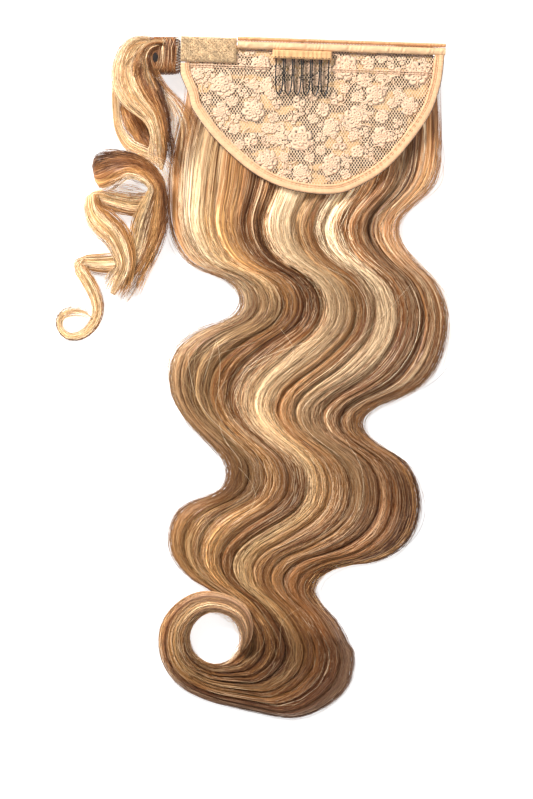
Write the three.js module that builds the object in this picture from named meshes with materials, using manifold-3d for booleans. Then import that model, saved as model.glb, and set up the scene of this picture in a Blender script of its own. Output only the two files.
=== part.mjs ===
// Wrap-around ponytail hairpiece, lying with its lace side up. Millimetres, +Z up.
import * as THREE from "three";
import { mergeVertices } from "three/addons/utils/BufferGeometryUtils.js";
import Module from "manifold-3d";

const wasm = await Module();
wasm.setup();

// Clearance between pieces that touch
const gap = 0.3;

// Lace base
const baseWidth = 158.4;
const baseDepth = 94.2;
const topEdgeDrop = 5.4;
const panelThickness = 1.2;
const bindingWidth = 5.7;
const bindingWall = 1.0;
const bindingSlotDepth = 3.5;

// Pieces sewn on the lace
const bandDepth = 6.2;
const bandHeight = 2.6;
const patchWidth = 33.6;
const patchDepth = 15.2;
const patchHeight = 1.8;
const sleeveWidth = 35.4;
const sleeveDepth = 5.1;
const sleeveWall = 1.0;
const sleeveStart = 55.2;
const combBarDiameter = 1.0;
const wireDiameter = 0.95;
const toothCount = 6;
const toothPitch = 5.4;
const toothLength = 23.8;
const toothHalfWidth = 2.15;

// Root block of the wrap strand
const tabWidth = 18.3;
const tabDepth = 22.2;
const tabHeight = 15.5;
const tabFloor = 3.5;

// Hair
const fallLength = 406.8;
const fallHeight = 15;
const ringHoleRadius = 16.2;
const lockGroove = 0.2;
const strandDrop = 180.6;
const coilDiameter = 34;
const coilHeight = 26;
const ribbonWidth = 23;
const ribbonThickness = 3.4;

const bindingHalf = panelThickness / 2 + gap + bindingWall;
const panelFloor = fallHeight + gap + bindingHalf - panelThickness / 2;
const panelTop = panelFloor + panelThickness;
const edgeSlope = Math.atan2(topEdgeDrop, baseWidth);

// Edge of the base from its top left corner round the curve: shares of baseWidth and baseDepth
const baseEdge = [
  { across: 0.0, down: 0.0 },
  { across: 0.0, down: 0.12 },
  { across: 0.0, down: 0.23 },
  { across: 0.03, down: 0.36 },
  { across: 0.05, down: 0.47 },
  { across: 0.136, down: 0.66 },
  { across: 0.27, down: 0.86 },
  { across: 0.4, down: 0.965 },
  { across: 0.544, down: 1.0 },
  { across: 0.65, down: 0.965 },
  { across: 0.79, down: 0.815 },
  { across: 0.924, down: 0.535 },
  { across: 0.973, down: 0.34 },
  { across: 0.99, down: 0.18 },
  { across: 0.995, down: 0.06 },
];

// One row per bend of the fall: across is a share of baseWidth, down of fallLength, height of fallHeight
const bends = [
  { leftAcross: 0.01, leftDown: 0.024, rightAcross: 0.985, rightDown: 0.03, height: 0.8 },
  { leftAcross: 0.01, leftDown: 0.09, rightAcross: 0.985, rightDown: 0.114, height: 1 },
  { leftAcross: -0.034, leftDown: 0.165, rightAcross: 0.981, rightDown: 0.18, height: 1 },
  { leftAcross: -0.045, leftDown: 0.224, rightAcross: 0.936, rightDown: 0.224, height: 1 },
  { leftAcross: -0.042, leftDown: 0.268, rightAcross: 0.841, rightDown: 0.258, height: 0.95 },
  { leftAcross: -0.015, leftDown: 0.302, rightAcross: 0.814, rightDown: 0.285, height: 0.86 },
  { leftAcross: 0.034, leftDown: 0.329, rightAcross: 0.841, rightDown: 0.311, height: 0.8 },
  { leftAcross: 0.11, leftDown: 0.345, rightAcross: 0.894, rightDown: 0.335, height: 0.78 },
  { leftAcross: 0.186, leftDown: 0.358, rightAcross: 0.951, rightDown: 0.357, height: 0.82 },
  { leftAcross: 0.227, leftDown: 0.378, rightAcross: 0.989, rightDown: 0.385, height: 0.9 },
  { leftAcross: 0.227, leftDown: 0.398, rightAcross: 1.004, rightDown: 0.416, height: 0.92 },
  { leftAcross: 0.182, leftDown: 0.416, rightAcross: 0.992, rightDown: 0.453, height: 0.86 },
  { leftAcross: 0.102, leftDown: 0.428, rightAcross: 0.962, rightDown: 0.484, height: 0.8 },
  { leftAcross: 0.027, leftDown: 0.444, rightAcross: 0.905, rightDown: 0.512, height: 0.76 },
  { leftAcross: -0.023, leftDown: 0.466, rightAcross: 0.822, rightDown: 0.53, height: 0.8 },
  { leftAcross: -0.04, leftDown: 0.494, rightAcross: 0.735, rightDown: 0.544, height: 0.86 },
  { leftAcross: -0.032, leftDown: 0.524, rightAcross: 0.682, rightDown: 0.562, height: 0.86 },
  { leftAcross: 0.004, leftDown: 0.552, rightAcross: 0.693, rightDown: 0.584, height: 0.78 },
  { leftAcross: 0.061, leftDown: 0.578, rightAcross: 0.754, rightDown: 0.603, height: 0.74 },
  { leftAcross: 0.121, leftDown: 0.6, rightAcross: 0.826, rightDown: 0.621, height: 0.76 },
  { leftAcross: 0.17, leftDown: 0.621, rightAcross: 0.875, rightDown: 0.643, height: 0.8 },
  { leftAcross: 0.182, leftDown: 0.643, rightAcross: 0.898, rightDown: 0.673, height: 0.82 },
  { leftAcross: 0.159, leftDown: 0.665, rightAcross: 0.898, rightDown: 0.705, height: 0.78 },
  { leftAcross: 0.098, leftDown: 0.678, rightAcross: 0.867, rightDown: 0.736, height: 0.72 },
  { leftAcross: 0.027, leftDown: 0.689, rightAcross: 0.803, rightDown: 0.76, height: 0.7 },
  { leftAcross: -0.023, leftDown: 0.709, rightAcross: 0.701, rightDown: 0.774, height: 0.74 },
  { leftAcross: -0.042, leftDown: 0.737, rightAcross: 0.591, rightDown: 0.78, height: 0.76 },
  { leftAcross: -0.027, leftDown: 0.765, rightAcross: 0.515, rightDown: 0.798, height: 0.74 },
  { leftAcross: 0.023, leftDown: 0.791, rightAcross: 0.5, rightDown: 0.819, height: 0.7 },
  { leftAcross: 0.083, leftDown: 0.808, rightAcross: 0.534, rightDown: 0.839, height: 0.66 },
  { leftAcross: 0.144, leftDown: 0.824, rightAcross: 0.583, rightDown: 0.86, height: 0.64 },
  { leftAcross: 0.193, leftDown: 0.848, rightAcross: 0.617, rightDown: 0.883, height: 0.63 },
];

// Middle of the ring curl, with the columns' shares of baseWidth and fallLength
const ringMiddle = { across: 0.1326, down: 0.8857 };

// Ring curl, clockwise from the right: outer is a share of ringHoleRadius, lift and height of fallHeight
const ringTurns = [
  { degrees: 6, outer: 4.99, lift: 0, height: 0.62 },
  { degrees: 17.5, outer: 5.08, lift: 0, height: 0.6 },
  { degrees: 25, outer: 4.91, lift: 0, height: 0.6 },
  { degrees: 34, outer: 4.57, lift: 0, height: 0.6 },
  { degrees: 43.5, outer: 4.12, lift: 0, height: 0.6 },
  { degrees: 55, outer: 3.28, lift: 0, height: 0.62 },
  { degrees: 76, outer: 2.56, lift: 0, height: 0.64 },
  { degrees: 105, outer: 2.25, lift: 0, height: 0.64 },
  { degrees: 136, outer: 2.2, lift: 0, height: 0.64 },
  { degrees: 166, outer: 2.14, lift: 0, height: 0.6 },
];
const ringEnd = [
  { degrees: 158, outer: 2.12, lift: 0.08, height: 0.5 },
  { degrees: 200, outer: 2.05, lift: 0.2, height: 0.52 },
  { degrees: 239, outer: 1.88, lift: 0.38, height: 0.5 },
  { degrees: 270, outer: 1.72, lift: 0.5, height: 0.46 },
  { degrees: 315, outer: 1.62, lift: 0.56, height: 0.4 },
  { degrees: 355, outer: 1.34, lift: 0.52, height: 0.3 },
  { degrees: 388, outer: 1.1, lift: 0.5, height: 0.2 },
];

// Edges of the locks across the fall, as shares of its width
const lockEdges = [0, 0.1, 0.19, 0.31, 0.41, 0.55, 0.66, 0.78, 0.88, 1];
const ringLockEdges = [0, 0.3, 0.62, 1];
const lockDrift = 0.015;

// Ribbons of the wrap strand, facing up: side is a share of coilDiameter to the left of the tab,
// drop of strandDrop, height of coilHeight and width of ribbonWidth
const strandRibbons = {
  upperFront: [
    { side: 0.0, drop: 0.047, height: 0.5, width: 0.6 },
    { side: 0.1, drop: 0.05, height: 0.52, width: 0.6 },
    { side: 0.26, drop: 0.08, height: 0.6, width: 0.64 },
    { side: 0.28, drop: 0.146, height: 0.7, width: 0.86 },
    { side: 0.09, drop: 0.22, height: 0.8, width: 0.95 },
    { side: -0.14, drop: 0.3, height: 0.76, width: 0.72 },
    { side: -0.21, drop: 0.372, height: 0.66, width: 0.55 },
    { side: -0.14, drop: 0.445, height: 0.6, width: 0.45 },
  ],
  upperBack: [
    { side: 0.46, drop: 0.153, height: 0.62, width: 0.3 },
    { side: 0.48, drop: 0.24, height: 0.32, width: 0.34 },
    { side: 0.4, drop: 0.325, height: 0.16, width: 0.5 },
    { side: 0.12, drop: 0.372, height: 0.22, width: 0.5 },
    { side: -0.18, drop: 0.392, height: 0.6, width: 0.4 },
  ],
  lowerFront: [
    { side: 0.88, drop: 0.422, height: 0.62, width: 0.66 },
    { side: 0.46, drop: 0.419, height: 0.72, width: 0.66 },
    { side: 0.05, drop: 0.458, height: 0.68, width: 0.58 },
    { side: -0.16, drop: 0.538, height: 0.54, width: 0.5 },
    { side: -0.07, drop: 0.65, height: 0.34, width: 0.62 },
    { side: 0.18, drop: 0.75, height: 0.22, width: 0.5 },
    { side: 0.35, drop: 0.844, height: 0.12, width: 0.2 },
  ],
  lowerBack: [
    { side: -0.12, drop: 0.555, height: 0.5, width: 0.4 },
    { side: 0.39, drop: 0.548, height: 0.34, width: 0.45 },
    { side: 0.92, drop: 0.518, height: 0.44, width: 0.5 },
  ],
  endLock: [
    { side: 0.91, drop: 0.472, height: 0.56, width: 0.42 },
    { side: 0.9, drop: 0.538, height: 0.46, width: 0.46 },
    { side: 0.67, drop: 0.625, height: 0.42, width: 0.45 },
    { side: 0.405, drop: 0.704, height: 0.3, width: 0.4 },
    { side: 0.53, drop: 0.757, height: 0.18, width: 0.32 },
    { side: 0.917, drop: 0.757, height: 0.14, width: 0.28 },
    { side: 1.2, drop: 0.741, height: 0.18, width: 0.2 },
    { side: 1.1, drop: 0.794, height: 0.3, width: 0.22 },
    { side: 0.87, drop: 0.864, height: 0.26, width: 0.24 },
    { side: 0.88, drop: 0.93, height: 0.2, width: 0.22 },
    { side: 1.06, drop: 0.987, height: 0.16, width: 0.18 },
    { side: 1.34, drop: 0.993, height: 0.12, width: 0.16 },
    { side: 1.59, drop: 0.953, height: 0.14, width: 0.14 },
    { side: 1.46, drop: 0.914, height: 0.2, width: 0.12 },
    { side: 1.164, drop: 0.917, height: 0.25, width: 0.08 },
  ],
};

// Value of each column of a table at a place between its rows, as a smooth curve
function rowAt(rows, place) {
  const last = rows.length - 1;
  const row = Math.min(Math.floor(place), last - 1);
  const share = place - row;
  const near = (i) => rows[Math.max(0, Math.min(last, i))];
  const result = {};
  for (const key of Object.keys(rows[0])) {
    const [a, b, c, d] = [-1, 0, 1, 2].map((step) => near(row + step)[key]);
    const bend = (2 * a - 5 * b + 4 * c - d) * share + (3 * b - 3 * c + d - a) * share * share;
    result[key] = b + (share / 2) * (c - a + bend);
  }
  return result;
}

function tableSteps(rows, stepsPerRow) {
  const count = (rows.length - 1) * stepsPerRow;
  return Array.from({ length: count + 1 }, (_, i) => rowAt(rows, i / stepsPerRow));
}

// Triangles that close one flat end of a loft
function capFaces(ring) {
  const normal = new THREE.Vector3();
  ring.forEach((p, i) => normal.add(p.clone().cross(ring[(i + 1) % ring.length])));
  normal.normalize();
  const side = new THREE.Vector3().subVectors(ring[1], ring[0]).normalize();
  const up = new THREE.Vector3().crossVectors(normal, side);
  const flat = ring.map((p) => new THREE.Vector2(p.dot(side), p.dot(up)));
  return THREE.ShapeUtils.triangulateShape(flat, []);
}

// Closed body through rings of equal point counts
function loft(rings) {
  const around = rings[0].length;
  const faces = [];
  for (let r = 0; r < rings.length - 1; r++) {
    for (let i = 0; i < around; i++) {
      const j = (i + 1) % around;
      const [a, b] = [r * around + i, r * around + j];
      faces.push([a, b, b + around], [a, b + around, a + around]);
    }
  }
  const end = (rings.length - 1) * around;
  capFaces(rings[0]).forEach(([a, b, c]) => faces.push([a, c, b]));
  capFaces(rings.at(-1)).forEach(([a, b, c]) => faces.push([end + a, end + b, end + c]));
  const points = rings.flat();
  let volume = 0;
  for (const [a, b, c] of faces) {
    volume += points[a].dot(new THREE.Vector3().crossVectors(points[b], points[c]));
  }
  const outward = volume > 0 ? faces : faces.map(([a, b, c]) => [a, c, b]);
  const geometry = new THREE.BufferGeometry().setFromPoints(points);
  geometry.setIndex(outward.flat());
  return geometry;
}

// Joins closed geometries in one body
function fuse(geometries) {
  const solids = geometries.map((source) => {
    const open = source.clone();
    open.deleteAttribute("normal");
    open.deleteAttribute("uv");
    const merged = mergeVertices(open);
    const vertProperties = new Float32Array(merged.attributes.position.array);
    const triVerts = new Uint32Array(merged.index.array);
    return new wasm.Manifold(new wasm.Mesh({ numProp: 3, vertProperties, triVerts }));
  });
  const mesh = solids.reduce((joined, next) => joined.add(next)).getMesh();
  const geometry = new THREE.BufferGeometry();
  geometry.setAttribute("position", new THREE.BufferAttribute(mesh.vertProperties, 3));
  geometry.setIndex(new THREE.BufferAttribute(mesh.triVerts, 1));
  return geometry;
}

function piece(name, geometry, color, roughness, metalness = 0) {
  geometry.computeVertexNormals();
  const material = new THREE.MeshStandardMaterial({ color, roughness, metalness });
  const mesh = new THREE.Mesh(geometry, material);
  mesh.name = name;
  return mesh;
}

// Turns a section drawn in x and y so that it runs along X, with its y upwards
function alongX(shape, length) {
  const geometry = new THREE.ExtrudeGeometry(shape, { depth: length, bevelEnabled: false, curveSegments: 5 });
  const axes = [new THREE.Vector3(0, 1, 0), new THREE.Vector3(0, 0, 1), new THREE.Vector3(1, 0, 0)];
  return geometry.applyMatrix4(new THREE.Matrix4().makeBasis(...axes));
}

function roundedBox(width, depth, height, radius) {
  const shape = new THREE.Shape();
  shape.moveTo(radius, 0);
  shape.lineTo(width - radius, 0);
  shape.absarc(width - radius, radius, radius, -Math.PI / 2, 0);
  shape.absarc(width - radius, depth - radius, radius, 0, Math.PI / 2);
  shape.absarc(radius, depth - radius, radius, Math.PI / 2, Math.PI);
  shape.absarc(radius, radius, radius, Math.PI, Math.PI * 1.5);
  return new THREE.ExtrudeGeometry(shape, { depth: height, bevelEnabled: false, curveSegments: 4 });
}

// Points on the edge of the base with their inward directions
function edgePoints(from, stepsPerRow) {
  const steps = tableSteps(baseEdge, stepsPerRow);
  const points = steps.map((s) => new THREE.Vector2(s.across * baseWidth, -s.down * baseDepth));
  return points
    .map((point, i) => {
      const before = points[Math.max(0, i - 1)];
      const after = points[Math.min(points.length - 1, i + 1)];
      const along = after.clone().sub(before).normalize();
      return { point, inward: new THREE.Vector2(-along.y, along.x) };
    })
    .slice(from);
}

function lacePanel() {
  const inset = bindingWidth - bindingSlotDepth + gap;
  const edge = edgePoints(0, 3).map((e) => e.point.clone().addScaledVector(e.inward, inset));
  const shape = new THREE.Shape(edge);
  const geometry = new THREE.ExtrudeGeometry(shape, { depth: panelThickness, bevelEnabled: false });
  return geometry.translate(0, 0, panelFloor);
}

// The tape is folded round the edge of the lace, so its section is open inwards
function edgeBinding() {
  const slotHalf = panelThickness / 2 + gap;
  const floor = bindingWidth - bindingSlotDepth;
  const round = bindingWall * 0.8;
  const upper = [
    [0, bindingHalf - round],
    [round, bindingHalf],
    [bindingWidth, bindingHalf],
    [bindingWidth, slotHalf],
    [floor, slotHalf],
  ];
  const section = [...upper, ...upper.map(([n, z]) => [n, -z]).reverse()];
  const middle = panelFloor + panelThickness / 2;
  const stepsPerRow = 3;
  const patchStep = 5;
  const bandSteps = 2;
  const edge = edgePoints(patchStep, stepsPerRow).slice(0, -bandSteps);
  const rings = edge.map(({ point, inward }) =>
    section.map(([n, z]) => {
      const p = point.clone().addScaledVector(inward, n);
      return new THREE.Vector3(p.x, p.y, middle + z);
    }),
  );
  return loft(rings);
}

function topBand() {
  const ridge = bandDepth / 2;
  const shoulder = bandHeight * 0.4;
  const crest = bandHeight * 1.5;
  const shape = new THREE.Shape();
  shape.moveTo(0, 0);
  shape.lineTo(bandDepth, 0);
  shape.lineTo(bandDepth, shoulder);
  shape.quadraticCurveTo(bandDepth - ridge / 2, crest, ridge, shoulder);
  shape.quadraticCurveTo(ridge / 2, crest, 0, shoulder);
  return alongX(shape, baseWidth - patchWidth - 3 * gap);
}

function combSleeve() {
  const height = combBarDiameter + 2 * gap + 2 * sleeveWall;
  const corners = [
    [0, 0],
    [sleeveDepth, 0],
    [sleeveDepth, height],
    [0, height],
    [0, height - sleeveWall],
    [sleeveDepth - sleeveWall, height - sleeveWall],
    [sleeveDepth - sleeveWall, sleeveWall],
    [0, sleeveWall],
  ];
  return alongX(new THREE.Shape(corners.map(([x, y]) => new THREE.Vector2(x, y))), sleeveWidth);
}

function wireComb() {
  const barLength = toothCount * toothPitch;
  const bar = new THREE.CylinderGeometry(combBarDiameter / 2, combBarDiameter / 2, barLength, 8);
  bar.rotateZ(Math.PI / 2).translate(barLength / 2, 0, 0);
  const half = [
    [toothHalfWidth, 0],
    [toothHalfWidth, -toothLength * 0.6],
    [toothHalfWidth * 0.7, -toothLength * 0.9],
    [toothHalfWidth * 0.4, -toothLength * 0.98],
  ];
  const left = half.map(([x, y]) => new THREE.Vector3(-x, y, 0));
  const right = half.map(([x, y]) => new THREE.Vector3(x, y, 0)).reverse();
  const tip = new THREE.Vector3(0, -toothLength, 0);
  const path = new THREE.CatmullRomCurve3([...left, tip, ...right]);
  const wire = new THREE.Shape().absarc(0, 0, wireDiameter / 2, 0, Math.PI * 2);
  const teeth = Array.from({ length: toothCount }, (_, i) => {
    const tooth = new THREE.ExtrudeGeometry(wire, { extrudePath: path, steps: 16, curveSegments: 3 });
    return tooth.translate((i + 0.5) * toothPitch, 0, 0);
  });
  return fuse([bar, ...teeth]);
}

// Flat underneath and ridged by locks on top, in the upright plane through both edges
function hairSection(left, right, lift, height, edges, phase) {
  const place = (share, z) => new THREE.Vector3().lerpVectors(left, right, share).setZ(lift + z);
  const under = [0.03, 0.5, 0.97].map((share) => place(share, 0));
  const over = [];
  const sideHeight = 0.3;
  for (let lock = 0; lock < edges.length - 1; lock++) {
    const drift = (i) => (i > 0 && i < edges.length - 1 ? lockDrift * Math.sin(phase + 2 * i) : 0);
    const from = edges[lock] + drift(lock);
    const to = edges[lock + 1] + drift(lock + 1);
    for (const part of [0, 1 / 3, 2 / 3]) {
      const share = from + (to - from) * part;
      const crown = sideHeight + (1 - sideHeight) * Math.sqrt(1 - (2 * share - 1) ** 4);
      const groove = part === 0 && lock > 0 ? lockGroove : 0;
      over.push(place(share, height * crown * (1 - groove)));
    }
  }
  over.push(place(1, height * sideHeight));
  return [...under, ...over.reverse()];
}

function ringSection(turn, edges, phase) {
  const angle = -THREE.MathUtils.degToRad(turn.degrees);
  const middle = new THREE.Vector3(ringMiddle.across * baseWidth, -ringMiddle.down * fallLength, 0);
  const direction = new THREE.Vector3(Math.cos(angle), Math.sin(angle), 0);
  const reach = (radius) => middle.clone().addScaledVector(direction, radius);
  const [inner, outer] = [reach(ringHoleRadius), reach(ringHoleRadius * turn.outer)];
  return hairSection(inner, outer, turn.lift * fallHeight, turn.height * fallHeight, edges, phase);
}

function hairFall() {
  const fall = tableSteps(bends, 2).map((s, i) => {
    const left = new THREE.Vector3(s.leftAcross * baseWidth, -s.leftDown * fallLength, 0);
    const right = new THREE.Vector3(s.rightAcross * baseWidth, -s.rightDown * fallLength, 0);
    return hairSection(left, right, 0, Math.min(1, s.height) * fallHeight, lockEdges, i / 6);
  });
  const turned = tableSteps(ringTurns, 2).map((s, i) => ringSection(s, lockEdges, 10.5 + i / 6));
  const end = tableSteps(ringEnd, 4).map((s, i) => ringSection(s, ringLockEdges, i / 4));
  return fuse([loft([...fall, ...turned]), loft(end)]);
}

// Flattened section with three locks on its outward side
function ribbonSection(width, thickness) {
  const outward = [-0.5, -0.34, -0.17, 0, 0.17, 0.34, 0.5].map((share, i) => {
    const crest = i % 2 === 1 ? 0.5 : 0.36;
    return [share * width, (i === 0 || i === 6 ? 0.1 : crest) * thickness];
  });
  const inward = [0.4, 0, -0.4].map((share) => [share * width, -0.45 * thickness]);
  return [...outward, ...inward];
}

function strandSweep(rows, start) {
  const centres = [];
  const steps = tableSteps(rows, 4);
  for (const s of steps) {
    const height = s.height * coilHeight;
    centres.push(new THREE.Vector3(start - s.side * coilDiameter, -s.drop * strandDrop, height));
  }
  const up = new THREE.Vector3(0, 0, 1);
  const rings = steps.map((s, i) => {
    const before = centres[Math.max(0, i - 1)];
    const after = centres[Math.min(centres.length - 1, i + 1)];
    const along = after.clone().sub(before).normalize();
    const across = new THREE.Vector3().crossVectors(along, up).normalize();
    const outward = new THREE.Vector3().crossVectors(across, along);
    return ribbonSection(s.width * ribbonWidth, ribbonThickness).map(([w, t]) =>
      centres[i].clone().addScaledVector(across, w).addScaledVector(outward, t),
    );
  });
  return loft(rings);
}

const hairpiece = new THREE.Group();
const baseLeft = Math.min(...edgePoints(0, 3).map((e) => e.point.x));
const tabRight = baseLeft - gap;
const tabLeft = tabRight - tabWidth;

hairpiece.add(piece("lace_panel", lacePanel(), 0xf7e2c8, 0.9));
hairpiece.add(piece("edge_binding", edgeBinding(), 0xf6d0a8, 0.8));

// Everything sewn along the sloping top edge
const topEdge = new THREE.Group();
topEdge.rotation.z = -edgeSlope;
topEdge.position.z = panelTop + gap;
hairpiece.add(topEdge);

const band = piece("top_band", topBand(), 0xe8aa78, 0.75);
band.position.set(patchWidth + 2 * gap, -bandDepth, 0);
const patch = piece("grip_patch", roundedBox(patchWidth, patchDepth, patchHeight, 1.5), 0xd9bd84, 0.95);
patch.position.set(gap, -patchDepth, 0);
const sleeve = piece("comb_sleeve", combSleeve(), 0xd99a5b, 0.8);
sleeve.position.set(sleeveStart, -bandDepth - gap - sleeveDepth, 0);
const comb = piece("wire_comb", wireComb(), 0x3c3c42, 0.35, 0.9);
const barHeight = sleeveWall + gap + combBarDiameter / 2;
comb.position.set(
  sleeveStart + (sleeveWidth - toothCount * toothPitch) / 2,
  sleeve.position.y + (sleeveDepth - sleeveWall) / 2,
  barHeight,
);
topEdge.add(band, patch, sleeve, comb);

const tab = piece("wrap_tab", roundedBox(tabWidth, tabDepth, tabHeight, 2.5), 0x543622, 0.85);
tab.position.set(tabLeft, -tabDepth, tabFloor);
hairpiece.add(tab);

hairpiece.add(piece("hair_fall", hairFall(), 0xb07c4c, 0.55));
const strand = fuse(Object.values(strandRibbons).map((rows) => strandSweep(rows, tabLeft - gap)));
strand.computeBoundingBox();
strand.translate(0, 0, -strand.boundingBox.min.z);
hairpiece.add(piece("wrap_strand", strand, 0xc08c5a, 0.55));

// Origin under the middle of the whole piece
const centre = new THREE.Box3().setFromObject(hairpiece).getCenter(new THREE.Vector3());
hairpiece.position.set(-centre.x, -centre.y, 0);
hairpiece.updateMatrixWorld(true);

export default hairpiece;
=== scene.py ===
# Looks of the wrap-around ponytail hairpiece, lying with its lace side up. Metres, +Z up.
import math

import bmesh
import bpy
import numpy as np
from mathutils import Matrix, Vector


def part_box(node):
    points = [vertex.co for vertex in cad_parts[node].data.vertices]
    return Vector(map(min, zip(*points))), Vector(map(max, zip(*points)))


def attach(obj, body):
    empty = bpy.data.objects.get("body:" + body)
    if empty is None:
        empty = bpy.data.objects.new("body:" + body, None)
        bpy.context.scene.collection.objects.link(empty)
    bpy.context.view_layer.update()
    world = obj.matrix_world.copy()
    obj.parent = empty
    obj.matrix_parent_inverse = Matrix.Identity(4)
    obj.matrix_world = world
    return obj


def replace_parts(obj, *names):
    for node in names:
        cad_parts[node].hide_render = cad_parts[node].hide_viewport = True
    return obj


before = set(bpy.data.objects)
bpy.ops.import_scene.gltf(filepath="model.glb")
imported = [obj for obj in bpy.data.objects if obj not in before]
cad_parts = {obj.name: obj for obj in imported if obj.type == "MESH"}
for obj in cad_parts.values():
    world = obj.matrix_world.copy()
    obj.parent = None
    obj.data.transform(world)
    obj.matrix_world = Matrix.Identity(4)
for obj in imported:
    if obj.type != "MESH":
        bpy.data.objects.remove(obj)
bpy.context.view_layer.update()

MM = 0.001
TURN = 2 * math.pi

# Sizes of the part, as in the frame
FALL_LENGTH = 406.8 * MM
BASE_WIDTH = 158.4 * MM
BASE_DEPTH = 94.2 * MM
FALL_HEIGHT = 15 * MM
RING_RADIUS = 16.2 * MM
COIL_DIAMETER = 34 * MM
COIL_HEIGHT = 26 * MM
STRAND_DROP = 180.6 * MM
RIBBON_WIDTH = 23 * MM
BINDING_WIDTH = 5.7 * MM
GAP = 0.3 * MM
# Thickness of the wrap strand's locks, and how low their middle and their surface may lie
LOCK_THIN, LOCK_THICK = 0.6 * MM, 3.2 * MM
LOCK_MIDDLE = 2.2 * MM
LOCK_FLOOR = 0.3 * MM
# What a photo pixel measures, and how far the straight top edge falls over the base's width
PIXEL = 0.6 * MM
EDGE_FALL = 5.4 * MM
# Heights above the surface of what lies on the base, from the weft up
WEFT_HEIGHT = 16.3 * MM
NET_LOW = 17.1 * MM
NET_THICK = 0.2 * MM
LACE_TOP = 17.42 * MM
VINE_HEIGHT = 17.55 * MM
SEAM_HEIGHT = 17.9 * MM
HEM_HEIGHT = 18.1 * MM

panel_low, panel_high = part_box("lace_panel")
binding_low, binding_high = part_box("edge_binding")
band_low, band_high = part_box("top_band")
patch_low, patch_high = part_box("grip_patch")
sleeve_low, sleeve_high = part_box("comb_sleeve")
comb_low, comb_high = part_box("wire_comb")
tab_low, tab_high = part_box("wrap_tab")
corner = Vector((binding_low.x, panel_high.y, 0))
EDGE_SLOPE = -math.atan2(EDGE_FALL, BASE_WIDTH)
TOP_EDGE = (math.cos(EDGE_SLOPE), math.sin(EDGE_SLOPE))

# Edge of the base round its curve: shares of its width and depth
BASE_EDGE = [
    (0.0, 0.0), (0.0, 0.12), (0.0, 0.23), (0.03, 0.36), (0.05, 0.47), (0.136, 0.66), (0.27, 0.86),
    (0.4, 0.965), (0.544, 1.0), (0.65, 0.965), (0.79, 0.815), (0.924, 0.535), (0.973, 0.34),
    (0.99, 0.18), (0.995, 0.06),
]

# Rows down the fall: left across, left down, right across, right down, height
BENDS = [
    (0.01, 0.024, 0.985, 0.03, 0.8), (0.01, 0.09, 0.985, 0.114, 1.0), (-0.034, 0.165, 0.981, 0.18, 1.0),
    (-0.045, 0.224, 0.936, 0.224, 1.0), (-0.042, 0.268, 0.841, 0.258, 0.95),
    (-0.015, 0.302, 0.814, 0.285, 0.86), (0.034, 0.329, 0.841, 0.311, 0.8),
    (0.11, 0.345, 0.894, 0.335, 0.78), (0.186, 0.358, 0.951, 0.357, 0.82),
    (0.227, 0.378, 0.989, 0.385, 0.9), (0.227, 0.398, 1.004, 0.416, 0.92),
    (0.182, 0.416, 0.992, 0.453, 0.86), (0.102, 0.428, 0.962, 0.484, 0.8),
    (0.027, 0.444, 0.905, 0.512, 0.76), (-0.023, 0.466, 0.822, 0.53, 0.8),
    (-0.04, 0.494, 0.735, 0.544, 0.86), (-0.032, 0.524, 0.682, 0.562, 0.86),
    (0.004, 0.552, 0.693, 0.584, 0.78), (0.061, 0.578, 0.754, 0.603, 0.74),
    (0.121, 0.6, 0.826, 0.621, 0.76), (0.17, 0.621, 0.875, 0.643, 0.8),
    (0.182, 0.643, 0.898, 0.673, 0.82), (0.159, 0.665, 0.898, 0.705, 0.78),
    (0.098, 0.678, 0.867, 0.736, 0.72), (0.027, 0.689, 0.803, 0.76, 0.7),
    (-0.023, 0.709, 0.701, 0.774, 0.74), (-0.042, 0.737, 0.591, 0.78, 0.76),
    (-0.027, 0.765, 0.515, 0.798, 0.74), (0.023, 0.791, 0.5, 0.819, 0.7),
    (0.083, 0.808, 0.534, 0.839, 0.66), (0.144, 0.824, 0.583, 0.86, 0.64),
    (0.193, 0.848, 0.617, 0.883, 0.63), (0.208, 0.856, 0.6235, 0.889, 0.62),
    (0.229, 0.8721, 0.63, 0.895, 0.62),
]
ring_middle = corner + Vector((0.1326 * BASE_WIDTH, -0.8857 * FALL_LENGTH, 0))
# Turns of the ring curl: degrees clockwise from the right, outer radius in ring radii,
# lift, height
RING_TURNS = [
    (6, 5.08, 0, 0.62), (17.5, 5.18, 0, 0.6), (25, 5.03, 0, 0.6), (34, 4.68, 0, 0.6),
    (43.5, 4.22, 0, 0.6), (49.5, 3.84, 0, 0.6), (55, 3.45, 0, 0.61), (76, 2.61, 0, 0.64),
    (105, 2.26, 0, 0.64), (136, 2.2, 0, 0.64), (166, 2.14, 0.02, 0.6),
]
RING_END = [
    (200, 2.05, 0.14, 0.54), (239, 1.88, 0.34, 0.5), (270, 1.72, 0.46, 0.46), (315, 1.62, 0.56, 0.4),
    (355, 1.34, 0.52, 0.3), (388, 1.1, 0.5, 0.2),
]
# Rows of the bends table at which the hair turns back to the other side
TURN_ROWS = [4.3, 9.8, 15.8, 21.3, 27, 35.5, 42, 46]
# Rows drawn for each row of the bends table
FINE_ROWS = 8
# Height that the hair may take under the base
BASE_ROOM = 14.6 * MM
# Shares across the fall at which its big locks meet
LOCK_EDGES = np.array([0, 0.1, 0.19, 0.31, 0.41, 0.55, 0.66, 0.78, 0.88, 1])

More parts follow.
